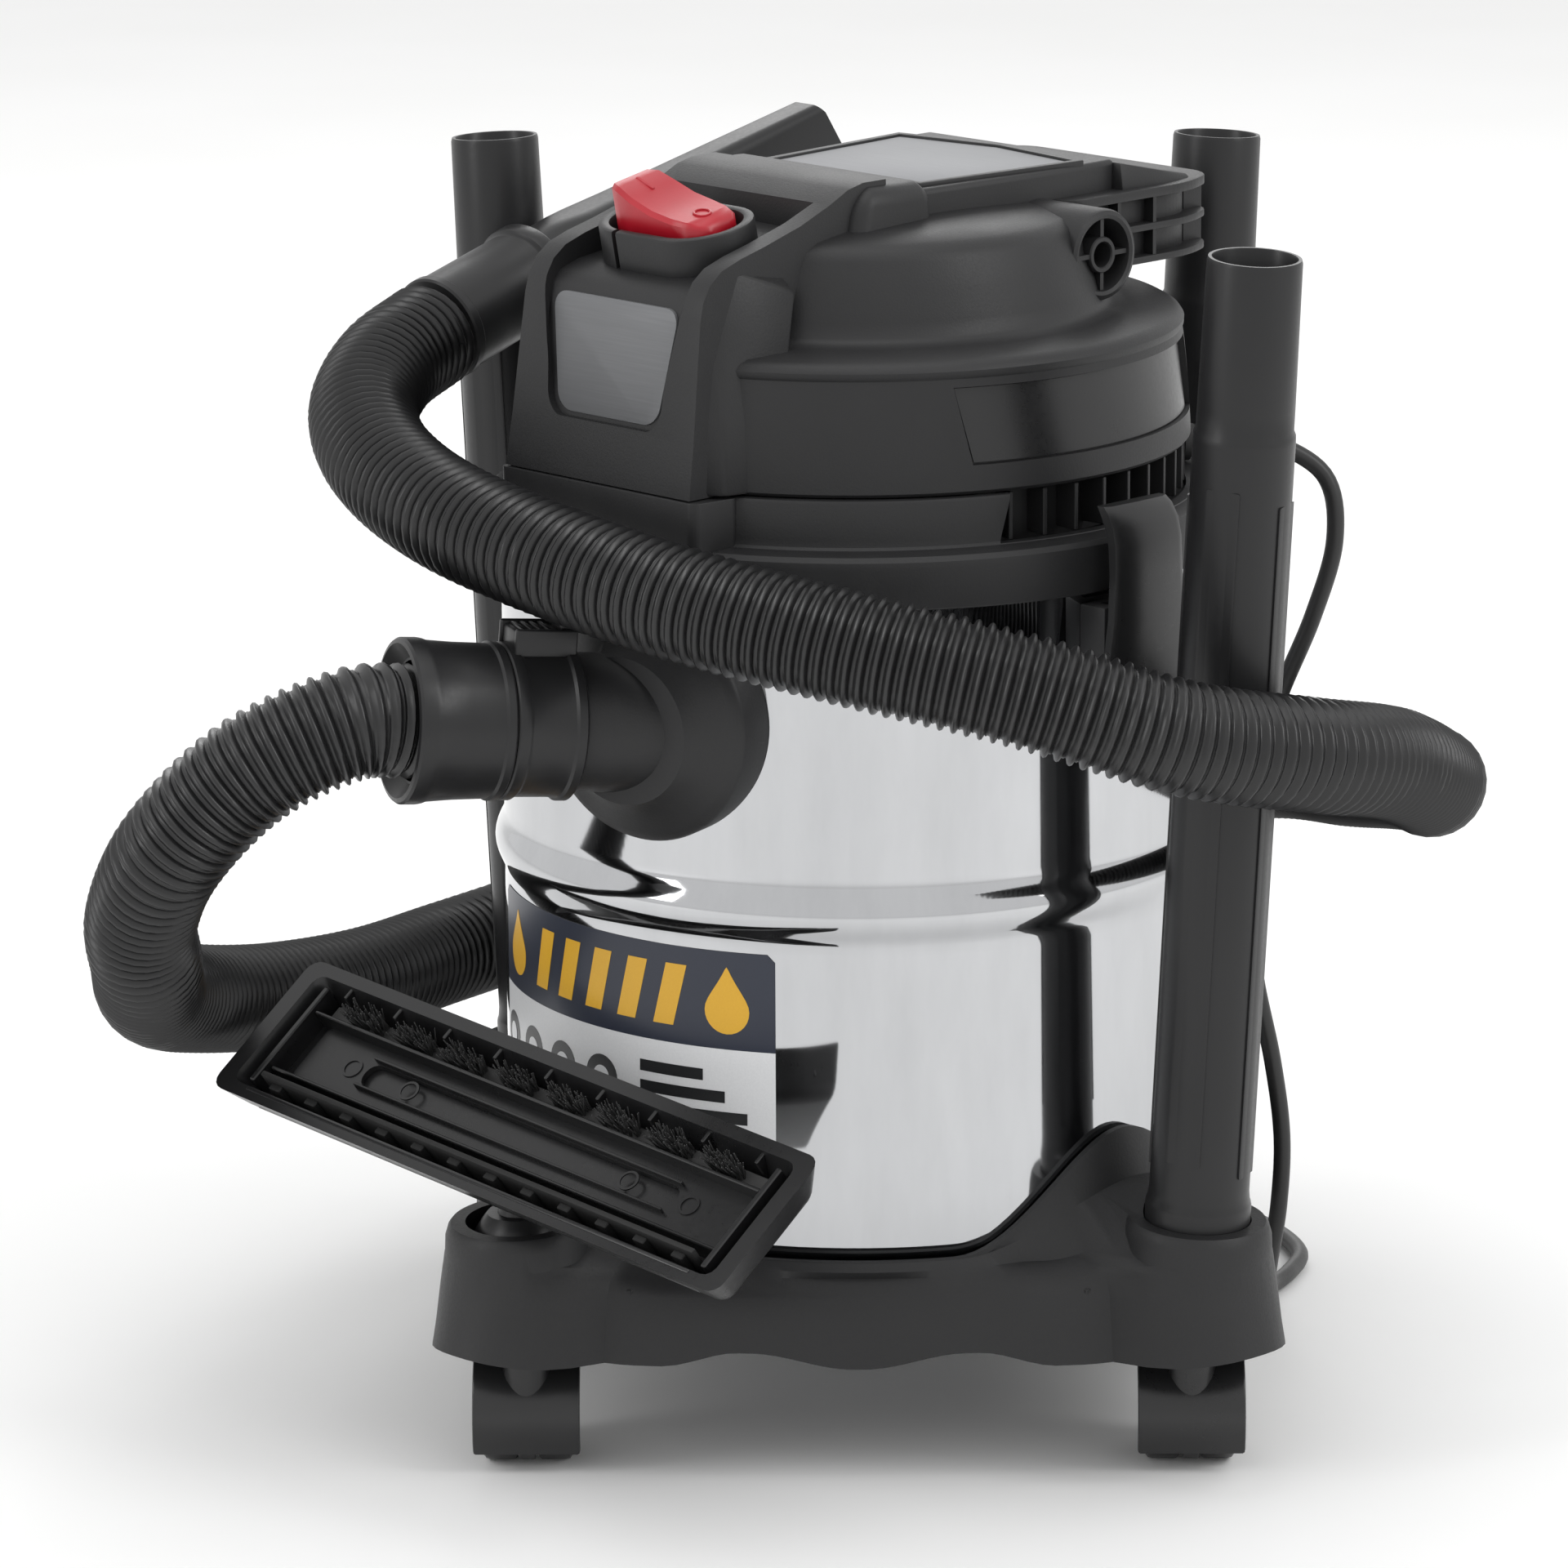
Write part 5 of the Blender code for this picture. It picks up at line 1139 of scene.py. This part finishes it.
def make_floor_tool():
    """Parked sole up: a shallow tray with ribs and a suction slot, brush tufts behind and a wiper lip in front."""
    m = nozzle_matrix()
    hub = m @ Vector((0, 0, -26))
    foot = post_matrix(SIDES["front"])
    neck = moved(turned([(0, 3.2), (17.8, 3.2), (17.8, 30), (17.2, 34), (14.5, 38), (12, 41), (0, 41)], 48), foot)
    side = (m.to_3x3() @ Vector((1, 0, 0))).normalized()
    eye = rod(hub - side * 12, hub + side * 12, 10, sides=40, rounding=0.8)
    link = rod(foot @ Vector((0, 0, 37)), hub, 9, sides=32)
    knuckle = carve(neck, ("UNION", link), ("UNION", eye),
                    ("DIFFERENCE", rod(hub - side * 30, hub + side * 30, 4.3, sides=24)))
    piece("tool_neck", knuckle, SMOOTH_PP, "tool_neck", ["nozzle_neck"])
    tray = block(-138, 138, -33, 33, -19, 0)
    soften(tray, [e for e in tray.edges if abs(e.verts[0].co.z - e.verts[1].co.z) > 1], 6, 4)
    soften(tray, [e for e in tray.edges if all(v.co.z < -18 for v in e.verts)], 6, 4)
    for v in tray.verts:
        t = -v.co.z / 19
        v.co.x *= 1 - 0.055 * t
        v.co.y *= 1 - 0.20 * t
    well = skin([[(x, y, -12) for x, y in oblong(252, 46, 4, 3)], [(x, y, 4) for x, y in oblong(264, 58, 5, 3)]])
    gap = block(-13.2, 13.2, -12.5, 12.5, -40, -13.8)
    body = carve(carve(tray, ("DIFFERENCE", well)), ("DIFFERENCE", gap))
    extras = []
    for s in (-1, 1):
        extras.append(block(min(s * 13.4, s * 18), max(s * 13.4, s * 18), -9, 9, -33, -14, 1.6, 2))
        extras.append(block(min(s * 122, s * 124.6), max(s * 122, s * 124.6), -24, 24, -12.5, -1.0, 0.5, 1))
    extras.append(rod((-16, 0, -26), (16, 0, -26), 4.0, sides=24))
    for i in range(9):
        x = -112 + 28 * i
        extras.append(block(x - 0.8, x + 0.8, 22.4, 30, -11, -1.2, 0.3, 1))
    extras.append(block(-121, 121, -29.4, -27.4, -12, 0.4, 0.6, 2))
    extras.append(block(-121, 121, -15.6, -14.2, -12, -3.0, 0.4, 1))
    extras.append(block(-121, 121, 12.6, 14.0, -12, -2.2, 0.4, 1))
    piece("tool_tray", moved(gather(body, *extras), m), GLOSS_ABS, "floor_tool", ["nozzle_head"])
    sole = prism(oblong(232, 27, 4, 3), -11.7, -9.2)
    sole = carve(sole, ("DIFFERENCE", prism(oblong(170, 11, 5, 4), -20, 5)))
    marks = []
    for x in (-92, -60, 60, 92):
        marks.append(moved(turned([(3.4, -9.3), (4.4, -9.3), (4.4, -8.7), (3.4, -8.7)], 24, True),
                           Matrix.Translation((x, 0, 0))))
    for s in (-1, 1):
        marks.append(block(-84, 84, s * 6.6 - 0.5, s * 6.6 + 0.5, -9.4, -6.6, 0.2, 1))
    piece("tool_sole", moved(gather(sole, *marks), m), GLOSS_ABS, "floor_tool", ["nozzle_sole"])
    lip = block(-118, 118, -22, -19.8, -11.6, 2.0, 0.5, 2)
    teeth = [block(x - 3, x + 3, -24.6, -21.8, -11.6, -1.2, 0.4, 1) for x in range(-110, 111, 20)]
    piece("wiper_lip", moved(gather(lip, *teeth), m), RUBBER, "floor_tool", ["nozzle_lip"])
    rng = random.Random(7)
    strands = [block(-119, 119, 16.2, 21.8, -11.6, -8.4, 0.4, 1)]
    spike = bmesh.new()
    for tuft in range(8):
        centre = -98 + 28 * tuft
        for i in range(85):
            x = centre + rng.uniform(-8.5, 8.5)
            y = 19 + rng.uniform(-2.6, 2.6)
            lean = Vector((rng.uniform(-0.22, 0.22) + (x - centre) * 0.02, rng.uniform(-0.3, 0.3), 1)).normalized()
            start = Vector((x, y, -9))
            strand = Matrix.Translation(start) @ UP.rotation_difference(lean).to_matrix().to_4x4()
            length = rng.uniform(8.5, 10.6)
            bmesh.ops.create_cone(spike, cap_ends=True, cap_tris=True, segments=4, radius1=0.42, radius2=0.24,
                                  depth=length, matrix=strand @ Matrix.Translation((0, 0, length / 2)))
    piece("brush_tufts", moved(gather(spike, *strands), m), FILAMENT, "floor_tool", ["nozzle_brush"])


def make_hose_end():
    """Swivel cuff on the free end of the hose and the flat crevice tool pushed into it."""
    start = Vector((-156.8, -75.2, 406.2))
    heading = Vector((-0.10, 0.963, 0.25)).normalized()
    at = frame_along(start, heading)
    cuff = turned([(16.5, 0), (20.4, 0), (21.2, 0.8), (21.2, 4), (20.4, 5), (20.2, 20), (19.8, 49), (20.2, 50),
                   (21.4, 51), (21.6, 52), (21.6, 57), (21, 58), (18.4, 58), (17.4, 54), (16.5, 52)], 64, True)
    end = piece("swivel_cuff", moved(cuff, at), SMOOTH_PP, ROOT, ["end_cuff"])
    axis = Vector((0.02, 0.97, 0.245)).normalized()
    x_way = heading.cross(UP).normalized()
    here = Matrix((x_way, x_way.cross(heading), heading)).transposed().to_4x4()
    x_two = axis.cross(UP).normalized()
    there = Matrix((x_two, x_two.cross(axis), axis)).transposed().to_4x4()
    there.translation = start + heading * 70
    sections = ((-30, 15.9, 15.9, 15.8), (-12, 15.9, 15.9, 15.8), (0, 16.2, 16.2, 15.4), (9, 16.2, 15.9, 13.0),
                (18, 15.8, 15.4, 11.0), (38, 13.2, 14.9, 8.5), (60, 11.0, 14.5, 6.0), (110, 9.6, 13.7, 5.0),
                (156, 8.6, 13.0, 4.0))
    loops = []
    for s, hx, hy, r in sections:
        blend = max(0.0, min(1.0, (s + 12) / 20))
        low = Matrix.Translation(start + heading * (70 + s)) @ here
        loop = []
        for x, y in oblong(2 * hx, 2 * hy, r, 7):
            cut = 9 * y / hy if s > 120 else 0
            a = there @ Vector((x, y, s - max(0.0, cut)))
            loop.append(tuple((low @ Vector((x, y, 0))).lerp(a, blend)))
        loops.append(loop)
    tool = skin(loops)
    inner = []
    for s, hx, hy, r in ((40, 6.0, 8.0, 3.0), (110, 7.4, 11.2, 3.6), (164, 6.6, 11.0, 3.0)):
        inner.append([tuple(there @ Vector((x, y, s))) for x, y in oblong(2 * hx, 2 * hy, r, 5)])
    piece("flat_crevice_tool", carve(tool, ("DIFFERENCE", skin(inner))), SMOOTH_PP, ROOT,
                 ["crevice_tool"], crease=30)
    return end


def make_gland():
    """Ribbed rubber sleeve where the lead leaves the rear wall."""
    a = math.radians(60)
    way = Vector((math.cos(a), math.sin(a), 0))
    profile = [(0, 116.2), (6.4, 116.2), (6.4, 130), (8, 130.4), (8, 133.4), (6.6, 134)]
    for i in range(4):
        z = 134.6 + i * 2.3
        profile += [(6.3 - 0.25 * i, z), (6.3 - 0.25 * i, z + 1.2), (5.5 - 0.25 * i, z + 1.4),
                    (5.5 - 0.25 * i, z + 2.1)]
    profile += [(4.8, 144), (0, 144)]
    piece("lead_gland", moved(turned(profile, 32), frame_along((0, 0, 366), way)), RUBBER, HEAD,
          ["cord_gland"])


make_floor_tool()
swivel = make_hose_end()
make_gland()

for node, finish in {
    "motor_can": ZINC_STEEL, "fan_housing": ZINC_STEEL, "fan_impeller": ZINC_STEEL, "switch_body": GLOSS_ABS,
    "filter_cage": TEXTURED_PP, "cartridge_filter": FILTER_PAPER, "filter_top_ring": RUBBER,
    "filter_end_cap": GLOSS_ABS, "tank_gasket": RUBBER, "float": RUBBER, "inlet_clamp_ring": TEXTURED_PP,
}.items():
    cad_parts[node].data.materials.clear()
    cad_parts[node].data.materials.append(finish)


# ------------------------------------------------------------ floor and light

def make_studio():
    """Pale seamless floor, a bright even surround, and soft boxes that draw long highlights on black plastic."""
    bm = bmesh.new()
    bmesh.ops.create_grid(bm, x_segments=2, y_segments=2, size=20)
    mesh = bpy.data.meshes.new("studio_floor")
    bm.to_mesh(mesh)
    bm.free()
    floor = bpy.data.objects.new("studio_floor", mesh)
    bpy.context.scene.collection.objects.link(floor)
    paper, tree, shader, place = start_finish("seamless_paper", roughness=0.9)
    fibre = add_node(tree, "ShaderNodeTexNoise", {"Vector": place}, {"Scale": 3.0})
    tone = add_node(tree, "ShaderNodeMix", {"Factor": fibre.outputs["Fac"]}, data_type="RGBA")
    tone.inputs["A"].default_value = linear("#f4f4f3")
    tone.inputs["B"].default_value = linear("#fafafa")
    tree.links.new(tone.outputs["Result"], shader.inputs["Base Color"])
    mesh.materials.append(paper)
    world = bpy.data.worlds.new("surround")
    world.use_nodes = True
    world.node_tree.nodes["Background"].inputs["Color"].default_value = (1, 1, 1, 1)
    world.node_tree.nodes["Background"].inputs["Strength"].default_value = SKY
    bpy.context.scene.world = world
    for name, at, power, size in LIGHTS:
        data = bpy.data.lights.new(name, "AREA")
        data.shape = "RECTANGLE"
        data.size, data.size_y = size
        data.energy = power
        lamp = bpy.data.objects.new(name, data)
        lamp.location = at
        lamp.rotation_mode = "QUATERNION"
        lamp.rotation_quaternion = (Vector(at) - Vector((0, 0, 0.25))).to_track_quat("Z", "Y")
        bpy.context.scene.collection.objects.link(lamp)
    bpy.context.scene.view_settings.view_transform = "Standard"


make_studio()
